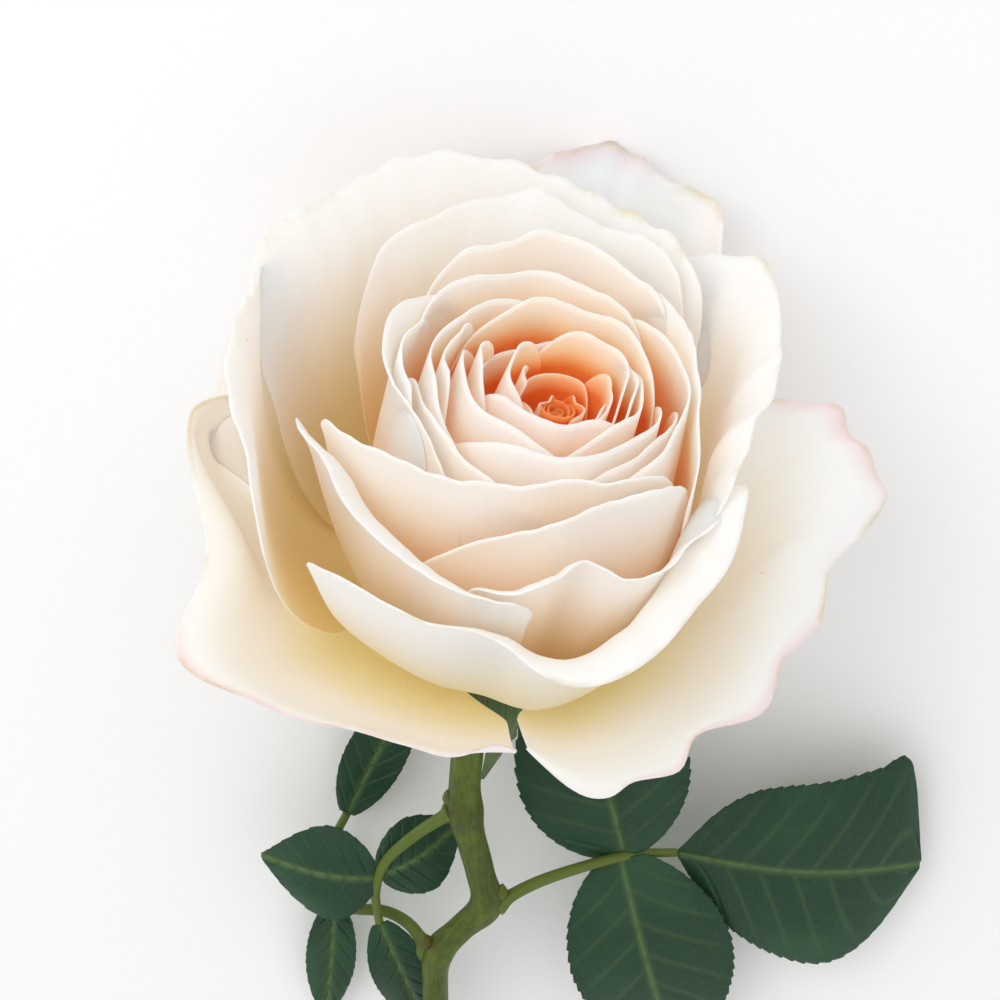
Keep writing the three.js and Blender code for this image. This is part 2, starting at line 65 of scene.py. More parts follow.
AXIS_RISE = 22.0  # the bloom's axis rises this much above the surface
AXIS_LEAN = 9.5  # and leans this much towards +X
SEAT_RADIUS, SEAT_HEIGHT = 9.2, -1.0  # seat of the outermost petal
SEAT_STEP_IN, SEAT_STEP_UP, SEAT_GAP = 0.2, 0.42, 0.35
HIP_RADIUS, HIP_LENGTH = 6.2, 10.0
BASE_SHARE, BASE_RUN = 0.3, 0.34
OFFSET_START, OFFSET_HEIGHT = 16, 40.0
HEART_OFFSET = (4.2, 4.6)
CORE_PETALS, CORE_START_ANGLE, GOLDEN_ANGLE = 14, -112.0, 137.5
CORE_RADIUS, HEART_TOP = (16.9, 2.2), 38.4
CORE_SPREAD, CORE_BELLY = (84.0, 78.0), (2.2, 1.8)
CORE_RIMS = (  # rim heights of the core's petals where they are not all level
    (45.4,) * 5, (45.4,) * 5, (45, 46, 46, 46, 45), (41, 44.5, 45.4, 45.4, 45),
    (45, 45.4, 45, 43, 40.5), (43, 41.5, 40.5, 40.5, 41), (44.5, 45, 45, 45, 44.5),
    (44.5, 45.2, 45.4, 45.2, 44), (44, 44.8, 44.5, 43.5, 42), (41,) * 5,
    (39.8,) * 5, (39.2,) * 5, (38.8,) * 5, (38.4,) * 5,
)

FULL = (1, 1, 1, 1, 1)
FLAT = (0, 0, 0, 0, 0)

# ---- the petals, from the outside in -----------------------------------------------
# name: (turn, spread), belly (radius, height), rim radii, rim heights, reach at five
# steps across, corner drop, outward curl at the five steps, where the curl starts,
# wave (depth, number, phase)

PETALS = {
    "guard_back_left": (
        (-146, 46), (44, 12), (45, 48, 49, 48, 45), (27, 30, 31, 30, 28), FULL,
        0.3, (2, 3, 3, 3, 2), 0.6, (1.3, 5, 0.9),
    ),
    "guard_right": (
        (70, 55), (40, 8), (30, 39.6, 40.2, 41.3, 45.2, 47, 53.5, 55, 46),
        (0, 2.3, 3.8, 6, 10.5, 16.5, 22.5, 29, 35), FULL,
        0.14, FLAT, 0.6, (0.3, 5, 0.2),
    ),
    "guard_left": (
        (-45.5, 56), (41, 6), (44, 47, 45.5, 50.5, 43.5, 37, 33.6, 31.6, 30),
        (35, 29, 18, 9.5, 5.5, 4, 3.3, 3, 3), FULL,
        0.12, FLAT, 0.6, (0.8, 6, 0.5),
    ),
    "guard_back_right": (
        (170, 36), (44, 17), (42, 46, 54, 55, 56.3, 56, 52.5, 48, 46),
        (43, 44, 44, 44, 44, 44, 43, 43, 42), FULL,
        0.16, FLAT, 0.7, (1.2, 8, 0.2),
    ),
    "cup_right": (
        (106, 52), (40, 18), (31, 30, 30.2, 31.5, 35.5, 40.3, 46, 44.5, 42),
        (40, 42, 43.5, 44, 44, 44, 45, 45, 45), FULL,
        0.14, FLAT, 0.75, (0.4, 4, 0.6),
    ),
    "cup_front": (
        (15, 64), (33.4, 23), (39.5, 37, 36, 34.5, 40, 39.5, 37, 34, 32.5),
        (34.5, 33, 31, 30, 28, 31.5, 36, 40.5, 44.5), FULL,
        0.12, FLAT, 0.7, (0.4, 6, 0.3),
    ),
    "cup_left": (
        (-90, 36), (41.5, 18), (47, 43.6, 43.2, 43.6, 44.4), (44, 46, 46, 45.6, 43), FULL,
        0.18, FLAT, 0.75, (0.4, 4, 0.1),
    ),
    "cup_back": (
        (-162, 62), (39.2, 19), (36, 39, 42, 44, 46.7, 47.8, 46.4, 45.5, 42.8),
        (48, 48, 48, 48, 48, 48, 48, 47.5, 47), FULL,
        0.16, FLAT, 0.75, (0.4, 5, 0.2),
    ),
    "mid_back": (
        (-176, 48), (35, 20), (33, 35.5, 37, 36, 33), (48, 48, 48.5, 48, 48), FULL,
        0.25, (0, 0.5, 1, 0.5, 0.5), 0.75, (0.7, 5, 0.1),
    ),
    "lip_left": (
        (-38, 44), (28.4, 22), (34, 32.8, 33.6, 33.8, 31.4), (42, 41, 39, 37, 37), FULL,
        0.12, FLAT, 0.65, (0.3, 5, 0.3),
    ),
    "lip_right": (
        (28, 40), (28.6, 22), (30, 32.6, 31, 28, 31.5, 32, 31, 31, 31),
        (37, 38, 39, 39.5, 39, 39, 40, 41, 42), FULL,
        0.12, FLAT, 0.75, (0.2, 5, 0.9),
    ),
    "mid_right": (
        (110, 48), (31.4, 20), (24.5, 23.5, 23.3, 28, 30), (45, 45.5, 46, 46.5, 46.5), FULL,
        0.16, FLAT, 0.8, (0.4, 4, 0.2),
    ),
    "front_right": (
        (20, 52), (27.6, 20), (25, 23.4, 22.5, 23.3, 23.7), (45.5,) * 5,
        (0.84, 0.92, 0.99, 1, 0.97), 0.15, (0.3, 0.3, 0.5, 0.5, 0.3), 0.8, (0.4, 5, 0.4),
    ),
    "mid_back_in": (
        (176, 48), (29.5, 20), (24, 27.5, 30, 27.5, 25.5), (47, 48, 48, 48, 47.5), FULL,
        0.25, (0, 0.5, 0.5, 0.5, 0), 0.8, (0.6, 5, 0.2),
    ),
    "front_low": (
        (-6, 72), (26.2, 21), (31, 28.5, 24.8, 22.3, 19.6, 18.9, 19.6, 21.4, 23),
        (44, 45, 45, 45, 45.3, 45.7, 46, 46, 45.5), FULL,
        0.10, FLAT, 0.82, (0.2, 7, 0.2),
    ),
    "ring_right": (
        (96, 64), (24.8, 19), (18.4, 19.6, 21, 22, 22), (45, 45.5, 46, 46.5, 46.5), FULL,
        0.18, (0, 0, 0.3, 0.3, 0.3), 0.8, (0.4, 6, 0.1),
    ),
    "ring_left": (
        (-88, 66), (25.3, 19), (23, 23, 21.4, 18.8, 19), (46.5, 46.5, 46, 46, 45.5),
        (1, 1, 1, 1, 0.94), 0.15, (0.5, 0.3, 0.3, 0.3, 0.3), 0.8, (0.35, 5, 0.8),
    ),
    "ring_back": (
        (-172, 60), (23.3, 20), (19.8, 20.6, 21.2, 21.2, 20.6), (46.5, 47, 47, 47, 46.5), FULL,
        0.18, (0, 0.3, 0.3, 0.3, 0), 0.8, (0.4, 6, 0.3),
    ),
    "front_in_left": (
        (-40, 58), (22.5, 18), (19, 17.8, 17.8, 18.2, 18.3), (45, 45, 45, 45, 44),
        (1, 1, 0.98, 0.95, 0.9), 0.15, FLAT, 0.8, (0.3, 5, 0.7),
    ),
    "front_in_right": (
        (42, 62), (21.7, 18), (16.6, 16.8, 17.2, 18.3, 18.9), (44, 44, 44, 44.5, 45),
        (0.92, 0.96, 1, 1, 1), 0.15, FLAT, 0.8, (0.3, 5, 0.3),
    ),
}

# rim rolls: how far the rim has turned outwards at the five steps, and where it starts
ROLLS = {
    "guard_back_left": ((30, 40, 30, 40, 30), 0.82),
    "guard_right": ((35, 10, 50, 70, 40), 0.80),
    "guard_left": ((-70, 55, 20, 60, 30), 0.82),
    "guard_back_right": ((50, 20, 60, 30, 70), 0.84),
    "cup_right": ((20, 40, 60, 50, 20), 0.86),
    "cup_front": ((5, 30, 80, 95, 50), 0.82),
    "cup_back": ((10, 35, 25, 45, 20), 0.86),
    "cup_left": ((0, 10, 30, 30, 0), 0.88),
    "mid_back": ((0, 20, 35, 20, 10), 0.88),
    "lip_left": ((15, 50, 60, 45, 10), 0.88),
    "lip_right": ((40, 50, 30, 20, 30), 0.90),
    "mid_right": ((0, 10, 20, 40, 10), 0.90),
    "front_right": ((20, 25, 20, 10, 0), 0.92),
    "front_low": ((10, 25, 20, 30, 10), 0.93),
    "ring_left": ((10, 30, 35, 30, 10), 0.92),
    "front_in_left": ((10, 20, 10, 20, 10), 0.93),
}
NO_ROLL = (FLAT, 0.9)

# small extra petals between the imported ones: the order of the petal that each stands by,
# then a row as above
PETALOIDS = {
    "petaloid_left_wide": (
        18, (-88, 44), (22.4, 19), (20.6, 20.6, 20.2, 19.8, 19.2), (45.6, 46, 45.8, 45.4, 44), FULL,
        0.2, FLAT, 0.8, (0.3, 5, 0.4),
    ),
    "petaloid_left_middle": (
        22, (-98, 42), (17.4, 19), (15.4,) * 5, (44.8, 45.4, 45.3, 45, 44), FULL,
        0.2, FLAT, 0.8, (0.3, 5, 0.1),
    ),
    "petaloid_left_small": (
        25, (-92, 46), (13.2, 20), (11.6, 11.8, 11.6, 11.2, 10.8), (43, 44.8, 45.2, 44.6, 43), FULL,
        0.24, FLAT, 0.8, (0.3, 5, 0.7),
    ),
    "petaloid_right_wide": (
        25, (100, 52), (12.6, 20), (10.8,) * 5, (43.6, 44.6, 44.9, 44.4, 43), FULL,
        0.2, FLAT, 0.8, (0.3, 5, 0.3),
    ),
    "petaloid_right_small": (
        28, (96, 58), (8.8, 20), (7.1,) * 5, (40.5, 42.4, 43, 42.6, 41), FULL,
        0.22, FLAT, 0.8, (0.25, 5, 0.9),
    ),
    "petaloid_fold": (
        29, (-104, 34), (7.2, 20), (5.6, 6.0, 5.8, 5.4, 5.2), (40.2, 42.4, 43.2, 42.2, 40.4), FULL,
        0.3, FLAT, 0.8, (0.3, 5, 0.2),
    ),
}
GUARDS = ("guard_back_left", "guard_right", "guard_left", "guard_back_right")
CUPS = ("cup_right", "cup_front", "cup_back", "cup_left")
PACKED_PETALS = len(PETALS) + CORE_PETALS
HEART_TURNS = 5  # petals that are wound into the closed heart
OPEN_RADIUS = 50  # petals this wide take the full ruffle, narrower ones less

# ---- the stem and the leaves -------------------------------------------------------
# The stem's bends: aside of the hip's end, below it, and height over the cut end as a
# share of the hip's end's height.

STEM_RADIUS = (2.7, 2.1, 2.5)  # under the hip, a third of the way down, at the cut end
STEM_BENDS = np.array((
    (-0.9, 7.9, 0.93), (-1.6, 17.9, 0.848), (-2.2, 30.9, 0.74), (0.1, 42.9, 0.66),
    (1.1, 49.9, 0.62), (-2.9, 54.9, 0.589), (-6.5, 59.9, 0.558), (-7.3, 69.9, 0.498),
    (-5.7, 101.9, 0.337), (-7.9, 139.9, 0.176), (-6.5, 179.9, 0.055), (-7.7, 215.9, 0),
))
STALK_RADIUS = (1.1, 0.7)
BUD_PLACES, BUD_RADII = (0, 0.2, 0.55, 0.85, 1), (0.8, 1.15, 1.1, 0.5, 0.1)
HIP_SIDES, STEM_SIDES, STALK_SIDES = 64, 40, 20
JOIN_GAP = 0.3

# node: the stem's bend it grows from; side; stalk: steps aside and along, and height as a
# share of the bend's; leaflets: place on the stalk, heading, length, half widths, rise, arch

LEAVES = {
    "leaf_right": (
        4, 1, ((8, 3.2, 0.95), (17, 5.2, 0.83), (24, 5.6, 0.71), (31, 5, 0.63)),
        {
            "tip": (
                1, -8, 41, (19, 18), -7, 3,
                (0.03, 0.45, 0.70, 0.80, 0.84, 0.89, 0.96, 1.0, 0.05),
                (0.03, 0.38, 0.66, 0.84, 0.95, 1.0, 0.92, 0.62, 0.05),
            ),
            "upper": (0.72, 104, 38, (14, 14), -8, 3),
            "lower": (0.7, -78, 46, (14.5, 12.5), -10, 3),
        },
    ),
    "leaf_left": (
        2, -1, ((-8, -6.5, 0.85), (-13, -13, 0.75), (-14.6, -19, 0.69), (-14.2, -26, 0.61)),
        {
            "tip": (1, -70, 27, (5, 5), -9, 1.5),
            "outer": (0.68, 176, 19, (8, 8.5), -5, 2),
            "inner": (0.66, 24, 15, (7, 6.5), -6, 1),
        },
    ),
    "leaf_low": (
        6, -1,
        ((-5.2, 1.2, 0.65), (-9, 1.8, 0.5), (-16, 1.2, 0.36), (-20, 4.5, 0.29),
         (-18, 12, 0.26), (-15.4, 17.5, 0.25)),
        {
            "tip": (1, 66, 31, (5, 5), 3, 1),
            "outer": (0.56, -92, 25, (4.2, 4.2), -3, 1),
        },
    ),
}
SEPALS, SEPAL_LENGTH, SEPAL_HALF_WIDTH = 5, 27.0, 3.6
SEPAL_OFF_HIP, SEPAL_THICKNESS = 0.6, 0.35


# ---- what a user may change --------------------------------------------------------


def length(name, default, description):
    """A length property in metres, from a default in millimetres."""
    return bpy.props.FloatProperty(
        name=name, description=description, default=default * MM, min=0, unit="LENGTH"
    )


def colour(name, default, description):
    """A linear colour."""
    return bpy.props.FloatVectorProperty(
        name=name, description=description, default=default, size=3, min=0, max=1,
        subtype="COLOR",
    )


class RosePetalSettings(bpy.types.PropertyGroup):
    thickness: length("Thickness", 0.32, "How thick a petal is")
    ruffle: length("Ruffle", 0.45, "Depth of the small waves along a petal's rim")
    vein_relief: length("Vein relief", 0.11, "Height of the fine veins that fan out in a petal")
    pale: colour("Pale", (0.835, 0.845, 0.845), "Rims and outer petals")
    ivory: colour("Ivory", (0.93, 0.77, 0.60), "The body of the outer and middle petals")
    # Peach, apricot and ember are partly the petals' own colour and partly painted light: warm
    # bounce light deep in the cup and, at ember, painted shade in the heart.
    peach: colour("Peach", (0.96, 0.60, 0.38), "Where the middle petals turn warm")
    apricot: colour("Apricot", (0.93, 0.35, 0.12), "The core's petals below their rims")
    ember: colour("Ember", (0.80, 0.15, 0.015), "The deepest part of the core")
    # Base is partly the petals' own green and ochre foot and partly painted golden shade low in the
    # cup.
    base: colour("Base", (0.62, 0.44, 0.09), "The green and ochre foot of a petal")
    blush: colour("Blush", (0.78, 0.42, 0.52), "Pink at the edge of the outermost petals")
    speck: colour("Speck", (0.25, 0.15, 0.06), "Small brown marks")


class RoseGreenSettings(bpy.types.PropertyGroup):
    leaf_thickness: length("Leaf thickness", 0.3, "How thick a leaflet is")
    tooth_depth: length("Tooth depth", 0.42, "Depth of the teeth along a leaflet's margin")
    vein_depth: length("Vein depth", 0.35, "How deep the side veins lie in a leaflet")
    leaf_top: colour("Leaf above", (0.010, 0.046, 0.020), "Upper face of a leaflet")
    leaf_new: colour("Leaf light", (0.024, 0.078, 0.034), "Lighter patches of the upper face")
    leaf_under: colour("Leaf below", (0.07, 0.12, 0.035), "Lower face of a leaflet")
    leaf_vein: colour("Leaf vein", (0.12, 0.20, 0.06), "Veins of a leaflet")
    stem: colour("Stem", (0.10, 0.145, 0.012), "Stem")
    stem_dark: colour("Stem dark", (0.045, 0.072, 0.008), "Darker streaks of the stem")
    stalk: colour("Stalk", (0.11, 0.155, 0.03), "Leaf stalks and sepals")
    scar: colour("Scar", (0.07, 0.03, 0.015), "Scars and buds at the stem's joints")
    pith: colour("Pith", (0.55, 0.52, 0.30), "The cut end")


class RoseStageSettings(bpy.types.PropertyGroup):
    floor: colour("Floor", (0.985, 0.985, 0.987), "The resting surface")
    daylight: bpy.props.FloatProperty(
        name="Daylight", description="Strength of the even light all round", default=0.84, min=0
    )
    lamp_power: bpy.props.FloatProperty(
        name="Lamp", description="Power of the large soft lamp", default=1.7, min=0, unit="POWER"
    )
    camera_distance: length("Camera distance", 450, "From the camera to the bloom")
    view_width: length("View width", 140, "Width seen at that distance")


# ---- frames and curves -------------------------------------------------------------


def turn_x(degrees):
    """Matrix that turns about +X."""
    return np.array(Matrix.Rotation(np.radians(degrees), 3, "X"))


def turn_z(degrees):
    """Matrix that turns about +Z."""
    return np.array(Matrix.Rotation(np.radians(degrees), 3, "Z"))


BLOOM_TURN = turn_z(-AXIS_LEAN) @ turn_x(AXIS_RISE - 90)


def seat_radius(index):
    """A petal's seat lies nearer the axis by an even step for each petal outside it."""
    return SEAT_RADIUS - SEAT_STEP_IN * index


def seat_height(index):
    """A petal's seat lies higher by an even step for each petal outside it."""
    return SEAT_HEIGHT + SEAT_STEP_UP * index


def receptacle_profile():
    """Radius and height of the hip and of the cone that the petals are seated on."""
    seats = [
        (seat_radius(index) - SEAT_GAP, seat_height(index) - 0.4)
        for index in (0, PACKED_PETALS * 0.5, PACKED_PETALS)
    ]
    foot = SEAT_HEIGHT - HIP_LENGTH
    hip = [
        (HIP_RADIUS * 0.5, foot),
        (HIP_RADIUS * 0.9, foot + HIP_LENGTH * 0.25),
        (HIP_RADIUS, foot + HIP_LENGTH * 0.55),
        (HIP_RADIUS * 0.95, foot + HIP_LENGTH * 0.75),
    ]
    return np.array(hip + seats + [(0.01, seat_height(PACKED_PETALS) - 0.2)])


def revolve(profile, sides):
    """Rings round the bloom's axis, one row for each point of the profile."""
    angle = np.linspace(0, 2 * np.pi, sides, endpoint=False)[None, :]
    radius, height = profile[:, :1], profile[:, 1:]
    return np.stack(
        [radius * np.sin(angle), -radius * np.cos(angle), height + 0 * angle], -1
    )


def find_seat():
    """Where the bloom's frame starts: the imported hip's box less the box it has at the origin."""
    turned = revolve(receptacle_profile(), 24).reshape(-1, 3) @ BLOOM_TURN.T * MM
    low, high = (np.array(corner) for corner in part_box("receptacle"))
    return (low + high) / 2 - (turned.min(0) + turned.max(0)) / 2


SEAT = find_seat()


def lay_down(points):
    """Bloom millimetres to metres in the object's frame."""
    return points @ BLOOM_TURN.T * MM + SEAT


def smooth(x, low=0.0, high=1.0):
    """0 below low, 1 above high, and an even S between them."""
    t = np.clip((x - low) / (high - low), 0, 1)
    return t * t * (3 - 2 * t)


def through(marks, s):
    """A smooth curve through marks spaced evenly from s = -1 to s = 1."""
    marks = np.array(marks, float)
    slope = np.gradient(marks)
    last = len(marks) - 1
    place = np.clip((s + 1) / 2 * last, 0, last)
    k = np.minimum(place.astype(int), last - 1)
    f = place - k
    ends = marks[k] * (1 + 2 * f) * (1 - f) ** 2 + marks[k + 1] * f * f * (3 - 2 * f)
    return ends + slope[k] * f * (1 - f) ** 2 - slope[k + 1] * f * f * (1 - f)


def along_curve(points, steps):
    """Even steps along a smooth curve through points (centripetal Catmull-Rom)."""
    points = np.array(points, float)
    ends = np.vstack([2 * points[0] - points[1], points, 2 * points[-1] - points[-2]])
    knots = np.concatenate(
        [[0], np.cumsum(np.linalg.norm(np.diff(ends, axis=0), axis=1) ** 0.5)]
    )
    t = np.linspace(knots[1], knots[-2], steps * 8)
    k = np.clip(np.searchsorted(knots, t, side="right") - 1, 1, len(points) - 1)

    def blend(a, b, ta, tb):
        return (a * (tb - t)[:, None] + b * (t - ta)[:, None]) / (tb - ta)[:, None]

    p = [ends[k + j] for j in (-1, 0, 1, 2)]
    u = [knots[k + j] for j in (-1, 0, 1, 2)]
    first = [blend(p[j], p[j + 1], u[j], u[j + 1]) for j in range(3)]
    second = [blend(first[j], first[j + 1], u[j], u[j + 2]) for j in range(2)]
    fine = blend(second[0], second[1], u[1], u[2])
    travelled = np.concatenate(
        [[0], np.cumsum(np.linalg.norm(np.diff(fine, axis=0), axis=1))]
    )
    wanted = np.linspace(0, travelled[-1], steps)
    return np.stack([np.interp(wanted, travelled, fine[:, axis]) for axis in range(3)], -1)


# ---- meshes ------------------------------------------------------------------------


def make_piece(name, points, faces, uv, material, values=None):
    """A smooth mesh from points, arrays of faces, a UV for each point and named values."""
    mesh = bpy.data.meshes.new(name)
    flat = points.reshape(-1, 3)
    corners = np.concatenate([group.ravel() for group in faces])
    sizes = np.concatenate([np.full(len(group), group.shape[1]) for group in faces])
    mesh.vertices.add(len(flat))
    mesh.vertices.foreach_set("co", flat.ravel())
    mesh.loops.add(len(corners))
    mesh.loops.foreach_set("vertex_index", corners)
    mesh.polygons.add(len(sizes))
    mesh.polygons.foreach_set("loop_start", np.concatenate([[0], np.cumsum(sizes)[:-1]]))
    mesh.polygons.foreach_set("loop_total", sizes)
    mesh.polygons.foreach_set("use_smooth", np.ones(len(sizes), bool))
    layer = mesh.uv_layers.new(name="Surface")
    layer.data.foreach_set("uv", uv.reshape(-1, 2)[corners].ravel())
    for key, value in (values or {}).items():
        attribute = mesh.attributes.new(key, "FLOAT", "POINT")
        attribute.data.foreach_set("value", np.broadcast_to(value, points.shape[:2]).ravel())
    mesh.update()
    mesh.validate()
    for each in material if isinstance(material, tuple) else (material,):
        mesh.materials.append(each)
    piece = bpy.data.objects.new(name, mesh)
    bpy.context.collection.objects.link(piece)
    return piece


def grid_faces(rows, columns, flip=False):
    """Quads of a grid of points."""
    index = np.arange(rows * columns).reshape(rows, columns)
    quads = [index[:-1, :-1], index[:-1, 1:], index[1:, 1:], index[1:, :-1]]
    return np.stack(quads[::-1] if flip else quads, -1).reshape(-1, 4)


def add_thickness(piece, thickness, under=0):
    """Gives a sheet its thickness, to both sides; under = 1 puts a second material below."""
    wall = piece.modifiers.new("Thickness", "SOLIDIFY")
    wall.thickness = thickness
    wall.offset = 0
    wall.use_rim = True
    wall.material_offset = under
    return piece


def settle(piece, slot, *nodes):
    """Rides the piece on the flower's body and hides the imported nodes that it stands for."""
    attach(piece, BODY)
    if nodes:
        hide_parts(*nodes)
    return piece


def ring_faces(rows, sides):
    """Quads between closed rings of points, and a fan to one more point at each end."""
    index = np.arange(rows * sides).reshape(rows, sides)
    index = np.concatenate([index, index[:, :1]], 1)
    quads = np.stack([index[:-1, :-1], index[:-1, 1:], index[1:, 1:], index[1:, :-1]], -1)
    first = np.stack([index[0, 1:], index[0, :-1], np.full(sides, rows * sides)], -1)
    last = np.stack([index[-1, :-1], index[-1, 1:], np.full(sides, rows * sides + 1)], -1)
    return [quads.reshape(-1, 4), first, last]


def make_rod(name, centres, radii, sides, material, squash=1.0):
    """A closed rod: rings of the given radii square to a path, and a cap at each end.

    A ring's first direction is level, square to the path; its second is square to both.
    """
    tangent = np.gradient(centres, axis=0)
    tangent /= np.linalg.norm(tangent, axis=1)[:, None]
    level = np.cross(tangent, (0, 0, 1))
    level /= np.linalg.norm(level, axis=1)[:, None]
    upward = np.cross(level, tangent)
    angle = np.linspace(0, 2 * np.pi, sides, endpoint=False)[None, :, None]
    size = np.asarray(radii).reshape(len(centres), -1, 1) * MM
    rings = centres[:, None] + size * (
        np.cos(angle) * level[:, None] + squash * np.sin(angle) * upward[:, None]
    )
    rows = len(centres)
    points = np.concatenate([rings.reshape(-1, 3), centres[:1], centres[-1:]])
    travelled = np.concatenate(
        [[0], np.cumsum(np.linalg.norm(np.diff(centres, axis=0), axis=1))]
    )
    around = np.broadcast_to(np.arange(sides) / sides, (rows, sides))
    down = np.broadcast_to(travelled[:, None] / MM, (rows, sides))
    uv = np.concatenate(
        [np.stack([around, down], -1).reshape(-1, 2), [[0.5, 0], [0.5, down.max() + 2.5]]]
    )
    return make_piece(name, points[None], ring_faces(rows, sides), uv[None], material)


# ---- node groups -------------------------------------------------------------------


def new_group(name, inputs, outputs):
    """A shader node group with named sockets: inputs maps a name to its type and default."""
    group = bpy.data.node_groups.new(name, "ShaderNodeTree")
    for key, (kind, default) in inputs.items():
        socket = group.interface.new_socket(key, in_out="INPUT", socket_type=f"NodeSocket{kind}")
        if default is not None:
            socket.default_value = default
    for key, kind in outputs.items():
        group.interface.new_socket(key, in_out="OUTPUT", socket_type=f"NodeSocket{kind}")
    return group


class Nodes:
    """Shorthand for adding and joining nodes in one tree."""

    def __init__(self, tree):
        self.tree = tree
        self.column = 0

    def add(self, kind, **settings):
        """Adds a node; a setting is an attribute, or an input when its key is one."""
        node = self.tree.nodes.new(kind)
        self.column += 1
        node.location = (self.column % 12 * 190, -(self.column // 12) * 260)
        for key, value in settings.items():
            setattr(node, key, value)
        return node

    def put(self, socket, value):
        """Joins a socket to another, or sets its value."""
        if isinstance(value, bpy.types.NodeSocket):
            self.tree.links.new(value, socket)
        else:
            socket.default_value = value

    def math(self, operation, a, b=0.0, c=0.0, clamp=False):
        node = self.add("ShaderNodeMath", operation=operation, use_clamp=clamp)
        for socket, value in zip(node.inputs, (a, b, c)):
            self.put(socket, value)
        return node.outputs[0]

    def ramp(self, value, low, high):
        """A smooth step of a value from low to high."""
        node = self.add("ShaderNodeMapRange", interpolation_type="SMOOTHSTEP")
        self.put(node.inputs["Value"], value)
        self.put(node.inputs["From Min"], low)
        self.put(node.inputs["From Max"], high)
        return node.outputs["Result"]

    def mix(self, factor, a, b, blend="MIX"):
        node = self.add("ShaderNodeMix", data_type="RGBA", blend_type=blend)
        self.put(node.inputs["Factor"], factor)
        self.put(node.inputs[6], a)
        self.put(node.inputs[7], b)
        return node.outputs[2]

    def noise(self, vector, scale, detail=3.0, roughness=0.55, distortion=0.0):
        node = self.add("ShaderNodeTexNoise")
        self.put(node.inputs["Vector"], vector)
        self.put(node.inputs["Scale"], scale)
        self.put(node.inputs["Detail"], detail)
        self.put(node.inputs["Roughness"], roughness)
        self.put(node.inputs["Distortion"], distortion)
        return node.outputs["Fac"]

    def scaled(self, vector, x, y, z=1.0):
        node = self.add("ShaderNodeVectorMath", operation="MULTIPLY")
        self.put(node.inputs[0], vector)
        self.put(node.inputs[1], (x, y, z))
        return node.outputs[0]

    def group(self, group, **inputs):
        node = self.add("ShaderNodeGroup")
        node.node_tree = group
        for key, value in inputs.items():
            self.put(node.inputs[key.replace("_", " ")], value)
        return node.outputs


def rgba(value):
    """A colour with full alpha."""
    return (*value, 1.0)


def fan_veins_group():
    """Fine lines that run from a petal's or leaf's foot to its rim, with cross ties."""
    group = new_group(
        "Fan veins",
        {"Surface": ("Vector", None), "Lines": ("Float", 60.0)},
        {"Height": "Float"},
    )
    n = Nodes(group)
    given = n.add("NodeGroupInput").outputs
    parts = n.add("ShaderNodeSeparateXYZ")
    n.put(parts.inputs[0], given["Surface"])
    across = n.math("MULTIPLY", parts.outputs[0], given["Lines"])
    join = n.add("ShaderNodeCombineXYZ")
    n.put(join.inputs[0], across)
    n.put(join.inputs[1], n.math("MULTIPLY", parts.outputs[1], 3.0))
    lines = n.noise(join.outputs[0], 1.0, 2.0, 0.5, 0.4)
    ties = n.noise(n.scaled(given["Surface"], 26, 40), 1.0, 2.0)
    height = n.math("ADD", lines, n.math("MULTIPLY", ties, 0.35))
    n.put(n.add("NodeGroupOutput").inputs["Height"], height)
    return group


def specks_group():
    """Sparse small round marks, as a mask from 0 to 1."""
    group = new_group(
        "Specks",
        {"Place": ("Vector", None), "Scale": ("Float", 120.0), "Amount": ("Float", 0.3)},
        {"Mask": "Float"},
    )
    n = Nodes(group)
    given = n.add("NodeGroupInput").outputs
    cells = n.add("ShaderNodeTexVoronoi")
    n.put(cells.inputs["Vector"], given["Place"])
    n.put(cells.inputs["Scale"], given["Scale"])
    shade = n.add("ShaderNodeSeparateColor")
    n.put(shade.inputs[0], cells.outputs["Color"])
    few = n.math("LESS_THAN", shade.outputs[0], given["Amount"])
    size = n.math("MULTIPLY", shade.outputs[1], 0.11)
    dot = n.math("SUBTRACT", 1.0, n.ramp(cells.outputs["Distance"], 0.0, size))
    n.put(n.add("NodeGroupOutput").inputs["Mask"], n.math("MULTIPLY", dot, few, clamp=True))
    return group


def mottle_group():
    """Soft uneven patches about 0.5, with their contrast."""
    group = new_group(
        "Mottle",
        {"Place": ("Vector", None), "Scale": ("Float", 30.0), "Contrast": ("Float", 1.0)},
        {"Value": "Float"},
    )
    n = Nodes(group)
    given = n.add("NodeGroupInput").outputs
    value = n.noise(given["Place"], given["Scale"], 4.0)
    centred = n.math("MULTIPLY", n.math("SUBTRACT", value, 0.5), given["Contrast"])
    n.put(n.add("NodeGroupOutput").inputs["Value"], n.math("ADD", centred, 0.5))
    return group


def edge_line_group():
    """A mask that rises towards a surface's rim, broken up by noise."""
    group = new_group(
        "Edge line",
        {
            "Along": ("Float", 0.0), "Place": ("Vector", None), "Start": ("Float", 0.97),
            "Patches": ("Float", 60.0), "Cover": ("Float", 0.5),
        },
        {"Mask": "Float"},
    )
    n = Nodes(group)
    given = n.add("NodeGroupInput").outputs
    rim = n.ramp(given["Along"], given["Start"], 1.0)
    patch = n.noise(given["Place"], given["Patches"], 3.0)
    low = n.math("SUBTRACT", 1.0, given["Cover"])
    cover = n.ramp(patch, n.math("SUBTRACT", low, 0.12), n.math("ADD", low, 0.08))
    n.put(n.add("NodeGroupOutput").inputs["Mask"], n.math("MULTIPLY", rim, cover))
    return group


GROUP_MAKERS = {
    "Fan veins": fan_veins_group,
    "Specks": specks_group,
    "Mottle": mottle_group,
    "Edge line": edge_line_group,
}


def shared(name):
    """The node group of that name, made when it is first asked for."""
    return bpy.data.node_groups.get(name) or GROUP_MAKERS[name]()


